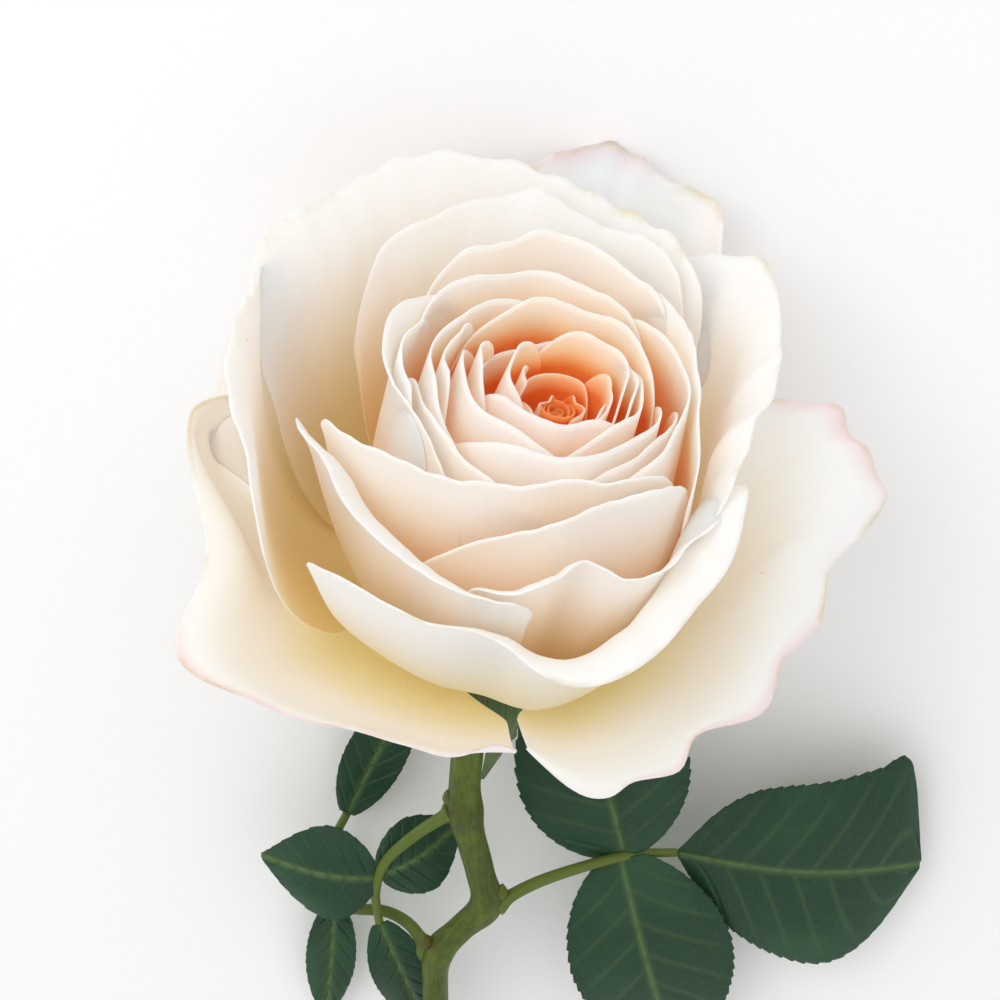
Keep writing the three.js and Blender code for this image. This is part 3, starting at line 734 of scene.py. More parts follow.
def new_material(name):
    """A material with its node shorthand, its shader and its place and surface sockets."""
    material = bpy.data.materials.new(name)
    material.use_nodes = True
    n = Nodes(material.node_tree)
    shader = material.node_tree.nodes["Principled BSDF"]
    place = n.add("ShaderNodeTexCoord").outputs["Object"]
    surface = n.add("ShaderNodeUVMap", uv_map="Surface").outputs[0]
    return material, n, shader, place, surface


def bump(n, shader, height, strength, distance):
    """Feeds a height to the shader's normal."""
    node = n.add("ShaderNodeBump")
    n.put(node.inputs["Strength"], strength)
    n.put(node.inputs["Distance"], distance)
    n.put(node.inputs["Height"], height)
    n.put(shader.inputs["Normal"], node.outputs[0])


# ---- materials ---------------------------------------------------------------------


def petal_material(name, blush, browning, specks, gain):
    """Petal tissue: pale at the rim, warmer with its stored warmth, green at its foot, with a faint
    painted glow of its own tint.
    """
    found = bpy.data.materials.get(name)
    if found:
        return found
    settings = bpy.context.scene.rose_petals
    material, n, shader, place, surface = new_material(name)
    parts = n.add("ShaderNodeSeparateXYZ")
    n.put(parts.inputs[0], surface)
    along = parts.outputs[1]
    warmth = n.add("ShaderNodeAttribute", attribute_name="warmth").outputs["Fac"]
    foot = n.add("ShaderNodeAttribute", attribute_name="foot").outputs["Fac"]
    veins = n.group(shared("Fan veins"), Surface=surface, Lines=70.0)["Height"]
    patches = n.group(shared("Mottle"), Place=place, Scale=45.0, Contrast=0.35)["Value"]
    uneven = n.math("ADD", n.math("SUBTRACT", patches, 0.5), n.math("MULTIPLY", veins, 0.08))
    warm = n.math("MULTIPLY", n.math("ADD", 1.0, uneven), n.math("MULTIPLY", warmth, gain))
    tones = n.add("ShaderNodeValToRGB")
    n.put(tones.inputs[0], warm)
    tones.color_ramp.interpolation = "B_SPLINE"
    stops = [(0.0, "pale"), (0.25, "ivory"), (0.5, "peach"), (0.75, "apricot"), (1.0, "ember")]
    for position, key in stops[1:-1]:
        tones.color_ramp.elements.new(position)
    for element, (position, key) in zip(tones.color_ramp.elements, stops):
        element.position = position
        element.color = rgba(getattr(settings, key))
    tint = n.mix(foot, tones.outputs[0], rgba(settings.base))
    pink = n.group(
        shared("Edge line"), Along=along, Place=place, Start=0.93, Patches=28.0, Cover=blush
    )["Mask"]
    tint = n.mix(n.math("MULTIPLY", pink, 0.6), tint, rgba(settings.blush))
    brown = n.group(
        shared("Edge line"), Along=along, Place=place, Start=0.975, Patches=90.0, Cover=browning
    )["Mask"]
    tint = n.mix(n.math("MULTIPLY", brown, 0.6), tint, (0.50, 0.40, 0.22, 1))
    marks = n.group(shared("Specks"), Place=place, Scale=230.0, Amount=specks)["Mask"]
    tint = n.mix(n.math("MULTIPLY", marks, 0.7), tint, rgba(settings.speck))
    n.put(shader.inputs["Base Color"], tint)
    n.put(shader.inputs["Roughness"], n.math("ADD", 0.46, n.math("MULTIPLY", veins, 0.12)))
    shader.inputs["Specular IOR Level"].default_value = 0.32
    shader.inputs["Subsurface Weight"].default_value = 0.75
    shader.inputs["Subsurface Radius"].default_value = (1.0, 0.62, 0.40)
    shader.inputs["Subsurface Scale"].default_value = 3.0 * MM
    shader.inputs["Sheen Weight"].default_value = 0.12
    # Painted glow: every petal gives off a faint light of its own tint, standing in for light that
    # shines through and between the petals.
    n.put(shader.inputs["Emission Color"], tint)
    shader.inputs["Emission Strength"].default_value = 0.10
    bump(n, shader, veins, 0.7, settings.vein_relief)
    return material


def leaf_material(name, upper):
    """Leathery leaf: dark and glossy above, paler below, with lighter veins."""
    found = bpy.data.materials.get(name)
    if found:
        return found
    settings = bpy.context.scene.rose_green
    material, n, shader, place, _ = new_material(name)
    vein = n.add("ShaderNodeAttribute", attribute_name="vein").outputs["Fac"]
    fine = n.add("ShaderNodeTexVoronoi", feature="DISTANCE_TO_EDGE")
    n.put(fine.inputs["Vector"], place)
    n.put(fine.inputs["Scale"], 1100.0)
    net = n.ramp(fine.outputs["Distance"], 0.0, 0.16)
    patches = n.group(shared("Mottle"), Place=place, Scale=60.0, Contrast=1.6)["Value"]
    base = settings.leaf_top if upper else settings.leaf_under
    light = settings.leaf_new if upper else settings.leaf_vein
    tint = n.mix(n.ramp(patches, 0.35, 0.95), rgba(base), rgba(light))
    tint = n.mix(n.math("MULTIPLY", n.math("SUBTRACT", 1.0, net), 0.3), tint, rgba(light))
    tint = n.mix(n.math("MULTIPLY", vein, 0.75), tint, rgba(settings.leaf_vein))
    marks = n.group(shared("Specks"), Place=place, Scale=260.0, Amount=0.10)["Mask"]
    tint = n.mix(n.math("MULTIPLY", marks, 0.6), tint, rgba(settings.scar))
    n.put(shader.inputs["Base Color"], tint)
    rough = n.math("ADD", 0.36 if upper else 0.6, n.math("MULTIPLY", patches, 0.14))
    n.put(shader.inputs["Roughness"], rough)
    shader.inputs["Specular IOR Level"].default_value = 0.3
    shader.inputs["Subsurface Weight"].default_value = 0.08
    shader.inputs["Subsurface Scale"].default_value = 0.6 * MM
    bump(n, shader, n.math("ADD", net, n.math("MULTIPLY", vein, 0.5)), 0.5, 0.05 * MM)
    return material


def bark_material(name, light, dark, cut=0.0):
    """Green stem or stalk skin: long streaks, soft patches, scars and a paler cut end."""
    found = bpy.data.materials.get(name)
    if found:
        return found
    settings = bpy.context.scene.rose_green
    material, n, shader, place, surface = new_material(name)
    parts = n.add("ShaderNodeSeparateXYZ")
    n.put(parts.inputs[0], surface)
    streaks = n.noise(n.scaled(surface, 22.0, 0.35), 1.0, 3.0)
    patches = n.group(shared("Mottle"), Place=place, Scale=70.0, Contrast=1.3)["Value"]
    shade = n.math("ADD", n.math("MULTIPLY", streaks, 0.5), n.math("MULTIPLY", patches, 0.5))
    tint = n.mix(n.ramp(shade, 0.35, 0.68), rgba(dark), rgba(light))
    scar = n.add("ShaderNodeAttribute", attribute_name="scar").outputs["Fac"]
    tint = n.mix(n.math("MULTIPLY", scar, 0.9, clamp=True), tint, rgba(settings.scar))
    marks = n.group(shared("Specks"), Place=place, Scale=420.0, Amount=0.22)["Mask"]
    tint = n.mix(n.math("MULTIPLY", marks, 0.45), tint, (0.20, 0.17, 0.06, 1))
    if cut:
        pith = n.ramp(parts.outputs[1], cut, cut + 0.4)
        tint = n.mix(pith, tint, rgba(settings.pith))
    n.put(shader.inputs["Base Color"], tint)
    n.put(shader.inputs["Roughness"], n.math("ADD", 0.36, n.math("MULTIPLY", patches, 0.2)))
    shader.inputs["Specular IOR Level"].default_value = 0.3
    bump(n, shader, n.math("ADD", streaks, n.math("MULTIPLY", marks, 0.6)), 0.5, 0.12 * MM)
    return material


# ---- petals ------------------------------------------------------------------------


def core_rows():
    """The core's petals: each smaller and lower than the last, a golden angle further round."""
    rows = {}
    for k in range(CORE_PETALS):
        f = k / (CORE_PETALS - 1)
        radius, spread, bulge = (
            first + (last - first) * f
            for first, last in (CORE_RADIUS, CORE_SPREAD, CORE_BELLY)
        )
        rows[f"core_{k + 1:02d}"] = (
            (CORE_START_ANGLE + GOLDEN_ANGLE * k, spread), (radius + bulge, 20),
            (radius,) * 5, CORE_RIMS[k], FULL,
            0.22, FLAT, 0.8, (0.3, 7 - 3 * f, 0.37 * k),
        )
    return rows


def heart_shift(index, height):
    """How far the core stands off the bloom's axis for a petal, at a height."""
    last = PACKED_PETALS - 1
    inward = np.clip((index - OFFSET_START) / (last - OFFSET_START), 0, 1)
    upward = np.clip(height / OFFSET_HEIGHT, 0, 1.2) ** 2
    return HEART_OFFSET[0] * inward**0.8 * upward, HEART_OFFSET[1] * inward**0.6 * upward


def fine_waves(s, seed, low, high, count=6):
    """A sum of sines of s with seeded sizes, numbers and phases, about 1 high."""
    draw = np.random.default_rng(seed)
    number = draw.uniform(low, high, count)
    phase = draw.uniform(0, 2 * np.pi, count)
    size = draw.uniform(0.3, 1.0, count) / np.sqrt(count)
    return np.sum(size * np.sin(number * s[..., None] + phase), -1)


def roll_out(radius, height, turned, held):
    """Turns the steps of a petal's side view outwards by the given angles and adds them up.

    What this moves the rim by is taken off again by the share held, so the rim stays.
    """
    step_out = np.diff(radius, axis=0, prepend=radius[:1])
    step_up = np.diff(height, axis=0, prepend=height[:1])
    rolled = (
        radius[:1] + np.cumsum(np.cos(turned) * step_out + np.sin(turned) * step_up, 0),
        height[:1] + np.cumsum(np.cos(turned) * step_up - np.sin(turned) * step_out, 0),
    )
    return (
        after - held * (after[-1:] - before[-1:])
        for before, after in zip((radius, height), rolled)
    )


def petal_surface(row, roll, index, columns, rows, ruffle):
    """A petal's middle surface, its UV and how far each point is along its length.

    Seen from the side it is a cubic curve from its seat over its belly to its rim;
    across, it follows a circle round the bloom's axis. Past start the outer end curls
    outwards with the square of the way, and waves grow with its fourth power. Fine
    seeded waves break the rim's line and roll its last part a little.
    """
    (turn, spread), belly, radii, heights, reach, corner, curl, start, wave = row
    s = np.sin(np.linspace(-1, 1, columns) * np.pi / 2)[None, :]
    v = np.linspace(0, 1, rows)[:, None]
    rounding = 1 - corner + corner * np.sqrt(np.clip(1 - np.abs(s) ** 5, 0, 1))
    open_share = max(radii) / OPEN_RADIUS
    guard = index < len(GUARDS)
    notches = 1 + 0.014 * open_share * fine_waves(s, index, 4, 16)
    notches = notches + 0.008 * open_share**2 * fine_waves(s, index + 90, 20, 50)
    t = v * through(reach, s) * rounding * (1 + (notches - 1) * v**3)
    seat = (seat_radius(index), seat_height(index))
    rim = (through(radii, s), through(heights, s))
    bulge = (
        belly[0] * np.sqrt(rim[0] / max(radii)),
        belly[1] * np.clip(rim[1] / max(heights), 0.3, 1),
    )
    foot = (seat[0] * 0.2 + bulge[0] * 0.8, seat[1] - 1 + 0.12 * bulge[1])
    radius, height = (
        (1 - t) ** 3 * seat[k]
        + 3 * (1 - t) ** 2 * t * foot[k]
        + 3 * (1 - t) * t * t * bulge[k]
        + t**3 * rim[k]
        for k in (0, 1)
    )
    marks, first = roll
    turned = np.radians(through(marks, s)) * np.clip((v - first) / (1 - first), 0, 1)
    radius, height = roll_out(radius, height, turned, smooth(v, 0.35, first))
    rolled = np.clip((v - start) / (1 - start), 0, 1) ** 2 * through(curl, s)
    depth, count, phase = wave
    ripple = depth * v**4
    crinkle = ruffle * open_share**2 * (v**9 + 1.6 * v**4 * guard)
    crinkle = crinkle * fine_waves(s, index + 40, 8, 20)
    radius = radius + rolled + ripple * np.sin(count * s * 1.6 + phase * 2 * np.pi) + crinkle
    creases = 0.25 + 0.3 * guard
    radius = radius + creases * v**2 * fine_waves(s + 0.3 * v, index + 70, 3, 9)
    height = height - 0.35 * rolled + 0.5 * ripple * np.cos(count * s * 1.9 + phase * 3)
    width = BASE_SHARE + (1 - BASE_SHARE) * smooth(t, 0, BASE_RUN)
    angle = np.radians(turn + spread * s * width)
    dx, dy = heart_shift(index, height)
    points = np.stack(
        [radius * np.sin(angle) + dx, -radius * np.cos(angle) + dy, height + 0 * angle], -1
    )
    uv = np.stack(np.broadcast_arrays((s + 1) / 2, v), -1)
    return points, uv, t


def petal_values(points, index, t):
    """How warm and how green each point is.

    Warmth grows towards the core's own axis and with depth below a petal's rim; the
    green of a petal's foot grows towards its seat. Both are partly the petals' own colour
    and partly painted light: warm bounce light deep in the cup, painted shade in the heart,
    and a painted golden shade low between the petals.
    """
    shift = np.array(heart_shift(PACKED_PETALS - 1, OFFSET_HEIGHT))
    from_heart = np.linalg.norm(points[..., :2] - shift, axis=-1)
    high = smooth(points[..., 2], 12.0, 30.0)
    near = high * (1 - smooth(from_heart, 9.0, 26.0))
    heart = high * (1 - smooth(from_heart, 1.0, 9.5))
    under = smooth(1 - t, 0.0, 0.13)
    below = smooth(1 - t, 0.0, np.interp(index, (4, 12, 20), (0.75, 0.42, 0.22)))
    # Partly painted light: the rise with depth below the rim and near the heart also paints warm
    # bounce light, and in the heart painted shade.
    warmth = 0.05 + 0.36 * below + near * (0.08 + 0.44 * under) + heart * (0.52 + 0.2 * under)
    outer = np.clip(1 - index / 11, 0, 1)
    warmth = warmth * (1 - 0.72 * outer)
    run = (0.42, 0.85) if index < len(GUARDS) else (0.12, 0.7)
    # The foot's green and ochre is partly its own colour and partly painted golden shade low in the
    # cup.
    foot = smooth(1 - t, *run) * (0.52 + 0.25 * outer)
    return {"warmth": np.clip(warmth, 0, 1), "foot": foot}


def petal_looks(name, blush, browning, specks, outside, inside):
    """The looks of a petal's outer and inner face, which differ in how warm they are."""
    return (
        petal_material(name, blush, browning, specks, outside),
        petal_material(f"{name} inside", blush, browning, specks, inside),
    )


def make_petal(name, row, index, look, slot, replaced, roll=NO_ROLL):
    """One petal: its surface, laid in place and given its thickness."""
    settings = bpy.context.scene.rose_petals
    columns, rows = (97, 89) if index < 12 else (73, 65)
    points, uv, t = petal_surface(row, roll, index, columns, rows, settings.ruffle / MM)
    values = petal_values(points, index, t)
    piece = make_piece(name, lay_down(points), [grid_faces(rows, columns)], uv, look, values)
    add_thickness(piece, settings.thickness, under=1)
    return settle(piece, slot, *([replaced] if replaced else []))


def make_petals(names, look, slot):
    """The named petals of the bloom, in the places that the tables give them."""
    rows = {**PETALS, **core_rows()}
    order = list(rows)
    for name in names:
        roll = ROLLS.get(name, NO_ROLL)
        make_petal(f"{name}_petal", rows[name], order.index(name), look, slot, name, roll)


# ---- operators ---------------------------------------------------------------------


class ROSE_OT_outer_petals(bpy.types.Operator):
    """Build the four open guard petals and the four petals of the outer cup"""

    bl_idname = "rose.outer_petals"
    bl_label = "Outer petals"

    def execute(self, context):
        make_petals(GUARDS, petal_looks("Guard petal", 0.50, 0.45, 0.22, 1.0, 1.0), "outer_petal")
        make_petals(CUPS, petal_looks("Cup petal", 0.12, 0.38, 0.16, 1.0, 1.1), "outer_petal")
        return {"FINISHED"}


class ROSE_OT_middle_petals(bpy.types.Operator):
    """Build the petals between the outer cup and the core"""

    bl_idname = "rose.middle_petals"
    bl_label = "Middle petals"

    def execute(self, context):
        names = [name for name in PETALS if name not in GUARDS + CUPS]
        inner = ("front_in_left", "front_in_right")
        look = petal_looks("Middle petal", 0.16, 0.2, 0.10, 1.05, 1.4)
        make_petals([name for name in names if name not in inner], look, "middle_petal")
        make_petals(inner, look, "core_petal")
        return {"FINISHED"}


class ROSE_OT_core_petals(bpy.types.Operator):
    """Build the wound petals of the core and its closed heart"""

    bl_idname = "rose.core_petals"
    bl_label = "Core petals"

    def execute(self, context):
        look = petal_looks("Core petal", 0.1, 0.1, 0.05, 0.68, 1.4)
        make_petals(core_rows(), look, "core_petal")
        heart_look = petal_looks("Heart petal", 0.1, 0.1, 0.05, 1.4, 1.6)
        for name, (index, *row) in PETALOIDS.items():
            make_petal(name, tuple(row), index, look, "core_petal", None)
        for k in range(HEART_TURNS):
            radius = 2.2 - 0.4 * k
            row = (
                (CORE_START_ANGLE + GOLDEN_ANGLE * (CORE_PETALS + k), 165.0),
                (radius + 0.3, 22), (radius + 0.3, radius, radius, radius, radius - 0.3),
                (HEART_TOP - 0.3 * k,) * 5, FULL,
                0.08, FLAT, 0.8, (0.05, 4, 0.3 * k),
            )
            name = f"heart_petal_{k + 1}"
            make_petal(name, row, PACKED_PETALS - 1, heart_look, "core_petal", "heart")
        return {"FINISHED"}


class ROSE_OT_receptacle(bpy.types.Operator):
    """Build the hip and the cone that the petals are seated on"""

    bl_idname = "rose.receptacle"
    bl_label = "Hip and receptacle"

    def execute(self, context):
        settings = context.scene.rose_green
        look = bark_material("Hip skin", settings.stalk, settings.stem)
        profile = receptacle_profile()
        fine = along_curve(np.column_stack([profile, profile[:, 0] * 0]), 60)[:, :2]
        fine[:, 0] = np.maximum(fine[:, 0], 0.02)
        rings = lay_down(revolve(fine, HIP_SIDES))
        rows = len(fine)
        ends = lay_down(np.array([(0, 0, fine[0, 1]), (0, 0, fine[-1, 1])]))
        points = np.concatenate([rings.reshape(-1, 3), ends])
        around = np.arange(HIP_SIDES) / HIP_SIDES
        uv = np.stack(np.broadcast_arrays(around, np.arange(rows)[:, None] * 0.5), -1)
        uv = np.concatenate([uv.reshape(-1, 2), [[0, 0], [0, rows * 0.5]]])
        faces = ring_faces(rows, HIP_SIDES)
        piece = make_piece("hip_and_receptacle", points[None], faces, uv[None], look)
        settle(piece, "receptacle", "receptacle")
        return {"FINISHED"}


def sepal_surface(turn, columns, rows, seed):
    """A sepal: it leaves the hip outwards, bends down past it and tapers to a thin tip."""
    s = np.linspace(-1, 1, columns)[None, :]
    v = np.linspace(0, 1, rows)[:, None]
    bend = np.radians(-25 + 118 * smooth(v, 0, 0.55))
    step = SEPAL_LENGTH / (rows - 1)
    radius = HIP_RADIUS + SEPAL_OFF_HIP + np.cumsum(step * np.cos(bend), 0) - step
    height = SEAT_HEIGHT - 2.4 - np.cumsum(step * np.sin(bend), 0)
    lobes = 1 + 0.45 * np.exp(-(((v - 0.45) / 0.05) ** 2)) + 0.3 * np.exp(
        -(((v - 0.62) / 0.04) ** 2)
    )
    half = (SEPAL_HALF_WIDTH * (1 - v) ** 1.15 * (0.8 + 0.9 * v) + 0.28) * (
        1 + (lobes - 1) * np.abs(s) ** 3
    )
    twist = np.radians(turn + 5 * np.sin(3 * v + seed))
    outward = radius - 0.9 * (s * s) * (1 - v) + 0.3 * np.sin(5 * v + seed)
    points = np.stack(
        [
            outward * np.sin(twist) + half * s * np.cos(twist),
            -outward * np.cos(twist) + half * s * np.sin(twist),
            height + 0 * s,
        ],
        -1,
    )
    return points, np.stack(np.broadcast_arrays((s + 1) / 2, v), -1)


class ROSE_OT_sepals(bpy.types.Operator):
    """Build the five sepals, bent down round the hip"""

    bl_idname = "rose.sepals"
    bl_label = "Sepals"

    def execute(self, context):
        settings = context.scene.rose_green
        look = bark_material("Sepal skin", settings.stalk, settings.leaf_new)
        columns, rows = 25, 81
        for k in range(SEPALS):
            points, uv = sepal_surface(12 + 360 / SEPALS * k, columns, rows, 1.7 * k)
            faces = [grid_faces(rows, columns, flip=True)]
            piece = make_piece(f"sepal_{k + 1}_leaf", lay_down(points), faces, uv, look)
            add_thickness(piece, SEPAL_THICKNESS * MM)
            settle(piece, "sepal", f"sepal_{k + 1}")
        return {"FINISHED"}


# ---- stem and leaves ---------------------------------------------------------------


def below_hip(distance):
    """A place on the bloom's axis below the hip's end."""
    return lay_down(np.array((0.0, 0.0, SEAT_HEIGHT - HIP_LENGTH - distance)))


def stem_bends():
    """The stem's bends in the object's frame, down to the cut end lying on the surface."""
    top = below_hip(0)
    end = STEM_RADIUS[2] * MM
    aside, below, level = STEM_BENDS.T
    height = end + (top[2] - end) * level
    return np.stack([top[0] + aside * MM, top[1] - below * MM, height], -1)


def stem_radii(t):
    """The stem's radius along its length, in two even tapers, before its joints swell."""
    return np.interp(t, (0, 0.3, 1), STEM_RADIUS)


class ROSE_OT_stem(bpy.types.Operator):
    """Build the stem with its joints, buds and cut end"""

    bl_idname = "rose.stem"
    bl_label = "Stem"

    def execute(self, context):
        settings = context.scene.rose_green
        path = [below_hip(JOIN_GAP), below_hip(4), *stem_bends()]
        centres = along_curve(path, 340)
        t = np.linspace(0, 1, len(centres))
        around = np.linspace(0, 2 * np.pi, STEM_SIDES, endpoint=False)[None, :]
        radii = stem_radii(t)[:, None] * (1 + 0.03 * np.sin(5 * around + 30 * t[:, None]))
        scar = np.zeros((len(centres), STEM_SIDES))
        for leaf in LEAVES.values():
            far = np.linalg.norm(centres - stem_bends()[leaf[0]], axis=1)[:, None] / MM
            swell = np.exp(-((far / 3.2) ** 2))
            radii = radii * (1 + 0.22 * swell)
            facing = (1 - leaf[1] * np.cos(around)) / 2
            scar = scar + facing**2 * np.exp(-(((far - 1.6) / 0.7) ** 2)) * 0.6
        whole = np.linalg.norm(np.diff(centres, axis=0), axis=1).sum() / MM
        look = bark_material("Stem skin", settings.stem, settings.stem_dark, cut=whole + 0.3)
        piece = make_rod("green_stem", centres, radii, STEM_SIDES, look)
        attribute = piece.data.attributes.new("scar", "FLOAT", "POINT")
        attribute.data.foreach_set("value", np.concatenate([scar.ravel(), [0, 0]]))
        settle(piece, "stem", "stem")
        self.make_buds(settings)
        return {"FINISHED"}

    def make_buds(self, settings):
        """A small closed bud above the root of each leaf stalk."""
        look = bark_material("Bud skin", settings.scar, settings.stem)
        for leaf, (node, side, *_) in LEAVES.items():
            root = stem_bends()[node] + np.array((side * 1.5, 1.6, 0.5)) * MM
            middle, tip = (
                root + np.array((side * out, along, up)) * MM
                for out, along, up in ((0.9, 1.1, 0.4), (1.2, 2.7, 0.6))
            )
            centres = along_curve([root, middle, tip], 16)
            radii = np.interp(np.linspace(0, 1, len(centres)), BUD_PLACES, BUD_RADII)
            piece = make_rod(f"{leaf}_bud", centres, radii, STALK_SIDES, look)
            settle(piece, "stem", "stem")


def leaflet_surface(base, row, columns, rows, seed):
    """A leaflet's surface, with its vein mask.

    Widest below its middle and pointed at its tip, arched along its length; the margin
    has teeth, the blade sinks along the middle rib and the side veins, and the outer
    part waves gently.
    """
    settings = bpy.context.scene.rose_green
    _, heading, size, halves, rise, arch, *marks = row
    forward = np.array((np.cos(np.radians(heading)), np.sin(np.radians(heading)), 0))
    leftward = np.array((-forward[1], forward[0], 0))
    s = np.linspace(-1, 1, columns)[None, :]
    v = np.linspace(0, 1, rows)[:, None]
    side = np.abs(s)
    half = np.where(s > 0, halves[0], halves[1])
    inner = 0.02 + 0.96 * v
    outline = 0.04 + 0.96 * np.sin(np.pi * inner**0.82) ** 0.72 * (1 - v**5) ** 0.5
    if marks:
        outline = np.where(s > 0, *(through(side_marks, 2 * v - 1) for side_marks in marks))
    teeth = size / 1.9
    saw = (v * teeth + 0.35 * np.sin(9 * v + seed)) % 1.0
    depth = settings.tooth_depth / MM * np.clip(max(halves) / 14, 0.35, 1)
    margin = depth * (saw - 0.5) * np.sin(np.pi * v) ** 0.4
    reach = (half * outline + margin * side**6) * s
    veins = 7.0
    sweep = v * veins - side * 1.5 + 0.25 * np.sign(s)
    nearest = np.abs(sweep % 1.0 - 0.5) * 2
    groove = np.exp(-(((1 - nearest) / 0.16) ** 2)) * (1 - side**4) * smooth(v, 0.02, 0.12)
    rib = np.exp(-((side * half * outline / 0.55) ** 2))
    sink = settings.vein_depth / MM * (groove * 0.8 + rib * 1.2)
    crease = 0.13 * half * outline * side * (1 - 1.5 * side)
    flow = 0.7 * side**2 * np.sin(7 * v + seed + 2 * s)
    lift = rise * v**1.6 + arch * np.sin(np.pi * v) + crease + flow * outline - sink
    shift = 0.9 * np.sin(2.2 * v + seed) * v
    points = (
        base
        + (forward * (size * v)[..., None] + leftward * (reach + shift)[..., None]) * MM
        + np.array((0, 0, MM)) * lift[..., None]
    )
    uv = np.stack(np.broadcast_arrays((s + 1) / 2, v), -1)
    return points, uv, np.maximum(groove * 0.28, rib)


class ROSE_OT_leaves(bpy.types.Operator):
    """Build the three compound leaves, each a stalk with its leaflets"""

    bl_idname = "rose.leaves"
    bl_label = "Leaves"

    def execute(self, context):
        settings = context.scene.rose_green
        stalk_look = bark_material("Stalk skin", settings.stalk, settings.stem)
        above, below = leaf_material("Leaf above", True), leaf_material("Leaf below", False)
        bends = stem_bends()
        columns, rows = 61, 141
        for leaf, (node, side, stalk, leaflets) in LEAVES.items():
            root = bends[node]
            start = root + np.array((side * STEM_RADIUS[1] * 0.8 * MM, 0, 0))
            steps = [
                (root[0] + x * MM, root[1] + y * MM, root[2] * level) for x, y, level in stalk
            ]
            centres = along_curve([start, *steps], 90)
            t = np.linspace(0, 1, len(centres))
            radii = STALK_RADIUS[0] + (STALK_RADIUS[1] - STALK_RADIUS[0]) * t
            radii = radii * (1 + 0.9 * np.exp(-((t / 0.05) ** 2)))
            piece = make_rod(f"{leaf}_rachis", centres, radii, STALK_SIDES, stalk_look)
            settle(piece, "leaf_stalk", f"{leaf}_stalk")
            for k, (name, row) in enumerate(leaflets.items()):
                heading = np.radians(row[1])
                base = centres[int(round(row[0] * (len(centres) - 1)))]
                base = base + 0.2 * MM * np.array((np.cos(heading), np.sin(heading), 0))
                points, uv, vein = leaflet_surface(base, row, columns, rows, 1.3 * k + len(leaf))
                faces = [grid_faces(rows, columns, flip=True)]
                blade = make_piece(
                    f"{leaf}_{name}_blade", points, faces, uv, (above, below), {"vein": vein}
                )
                add_thickness(blade, settings.leaf_thickness, under=1)
                settle(blade, "leaf", f"{leaf}_{name}")
        return {"FINISHED"}


# ---- stage -------------------------------------------------------------------------


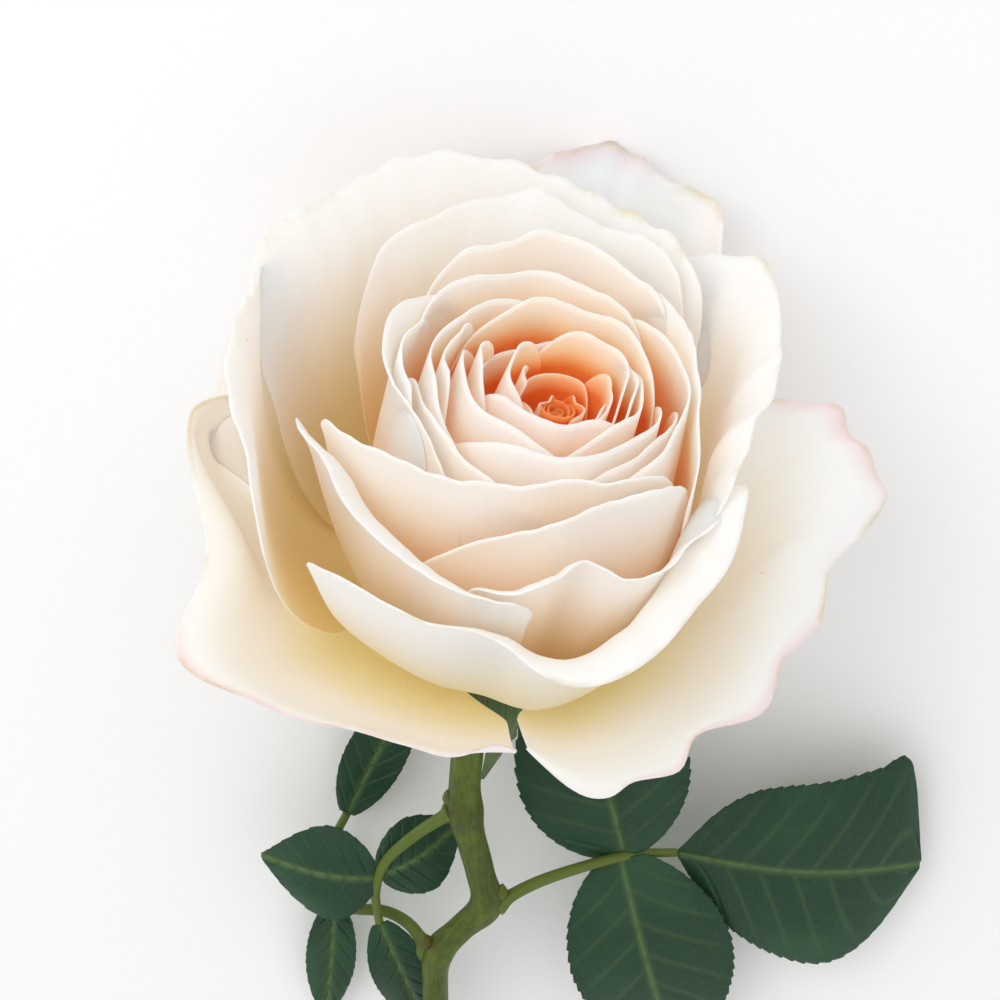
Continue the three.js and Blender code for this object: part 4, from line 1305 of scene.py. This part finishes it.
class ROSE_OT_stage(bpy.types.Operator):
    """Build the pale surface, the soft light and the camera that looks down on the flower"""

    bl_idname = "rose.stage"
    bl_label = "Stage"

    def execute(self, context):
        settings = context.scene.rose_stage
        self.make_floor(settings)
        self.make_light(settings)
        self.make_camera(settings)
        context.scene.view_settings.view_transform = "Standard"
        return {"FINISHED"}

    def make_floor(self, settings):
        """A level square, far wider than the flower."""
        size = 4.0
        corners = np.array([(-size, -size, 0), (size, -size, 0), (-size, size, 0), (size, size, 0)])
        material, n, shader, place, _ = new_material("Pale surface")
        fine = n.noise(place, 900.0, 2.0)
        light = rgba(settings.floor)
        dark = rgba([0.985 * value for value in settings.floor])
        n.put(shader.inputs["Base Color"], n.mix(fine, dark, light))
        n.put(shader.inputs["Roughness"], 0.9)
        shader.inputs["Specular IOR Level"].default_value = 0.1
        uv = corners[:, :2].reshape(2, 2, 2)
        floor = make_piece(
            "resting_surface", corners.reshape(2, 2, 3), [grid_faces(2, 2)], uv, material
        )

    def make_light(self, settings):
        """Even daylight, and one large soft lamp from above and behind the bloom."""
        world = bpy.data.worlds.new("Daylight")
        world.use_nodes = True
        background = world.node_tree.nodes["Background"]
        background.inputs["Color"].default_value = (1, 1, 1, 1)
        background.inputs["Strength"].default_value = settings.daylight
        bpy.context.scene.world = world
        lamp = bpy.data.lights.new("Soft lamp", "AREA")
        lamp.energy = settings.lamp_power
        lamp.size = 0.5
        holder = bpy.data.objects.new("Soft lamp", lamp)
        holder.location = Vector(SEAT) + Vector((-0.30, 0.45, 0.60))
        aim = Vector(SEAT) - holder.location
        holder.rotation_euler = aim.to_track_quat("-Z", "Y").to_euler()
        bpy.context.collection.objects.link(holder)

    def make_camera(self, settings):
        """The camera looks down past the vertical, with the stem towards its lower edge."""
        past_vertical = np.radians(23.0)
        back = Vector((0, np.sin(past_vertical), np.cos(past_vertical)))
        upward = Vector((0, np.cos(past_vertical), -np.sin(past_vertical)))
        right = Vector((1, 0, 0))
        focus = Vector(SEAT) + right * 1.68 * MM + upward * 15.96 * MM + back * 30 * MM
        camera = bpy.data.cameras.new("Camera")
        camera.sensor_width = 36.0
        camera.lens = camera.sensor_width * settings.camera_distance / settings.view_width
        camera.clip_start = 0.01
        holder = bpy.data.objects.new("Camera", camera)
        holder.matrix_world = Matrix((right, upward, back)).transposed().to_4x4()
        holder.location = focus + back * settings.camera_distance
        bpy.context.collection.objects.link(holder)
        bpy.context.scene.camera = holder


# ---- the panel and the list of operators -------------------------------------------

OPERATORS = (
    ROSE_OT_outer_petals,
    ROSE_OT_middle_petals,
    ROSE_OT_core_petals,
    ROSE_OT_receptacle,
    ROSE_OT_sepals,
    ROSE_OT_stem,
    ROSE_OT_leaves,
    ROSE_OT_stage,
)
SETTINGS = {
    "rose_petals": RosePetalSettings,
    "rose_green": RoseGreenSettings,
    "rose_stage": RoseStageSettings,
}


class ROSE_PT_panel(bpy.types.Panel):
    """Settings and steps of the cut rose"""

    bl_label = "Cut rose"
    bl_idname = "ROSE_PT_panel"
    bl_space_type = "VIEW_3D"
    bl_region_type = "UI"
    bl_category = "Rose"

    def draw(self, context):
        for key, group in SETTINGS.items():
            box = self.layout.box()
            for name in group.__annotations__:
                box.prop(getattr(context.scene, key), name)
        for operator in OPERATORS:
            self.layout.operator(operator.bl_idname)


def register():
    for group in SETTINGS.values():
        bpy.utils.register_class(group)
    for key, group in SETTINGS.items():
        setattr(bpy.types.Scene, key, bpy.props.PointerProperty(type=group))
    for each in (*OPERATORS, ROSE_PT_panel):
        bpy.utils.register_class(each)


def unregister():
    for each in reversed((*OPERATORS, ROSE_PT_panel)):
        bpy.utils.unregister_class(each)
    for key in SETTINGS:
        delattr(bpy.types.Scene, key)
    for group in reversed(SETTINGS.values()):
        bpy.utils.unregister_class(group)


def main():
    """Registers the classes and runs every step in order."""
    register()
    for operator in OPERATORS:
        step = getattr(bpy.ops.rose, operator.bl_idname.split(".")[1])
        step()


if __name__ == "__main__":
    main()
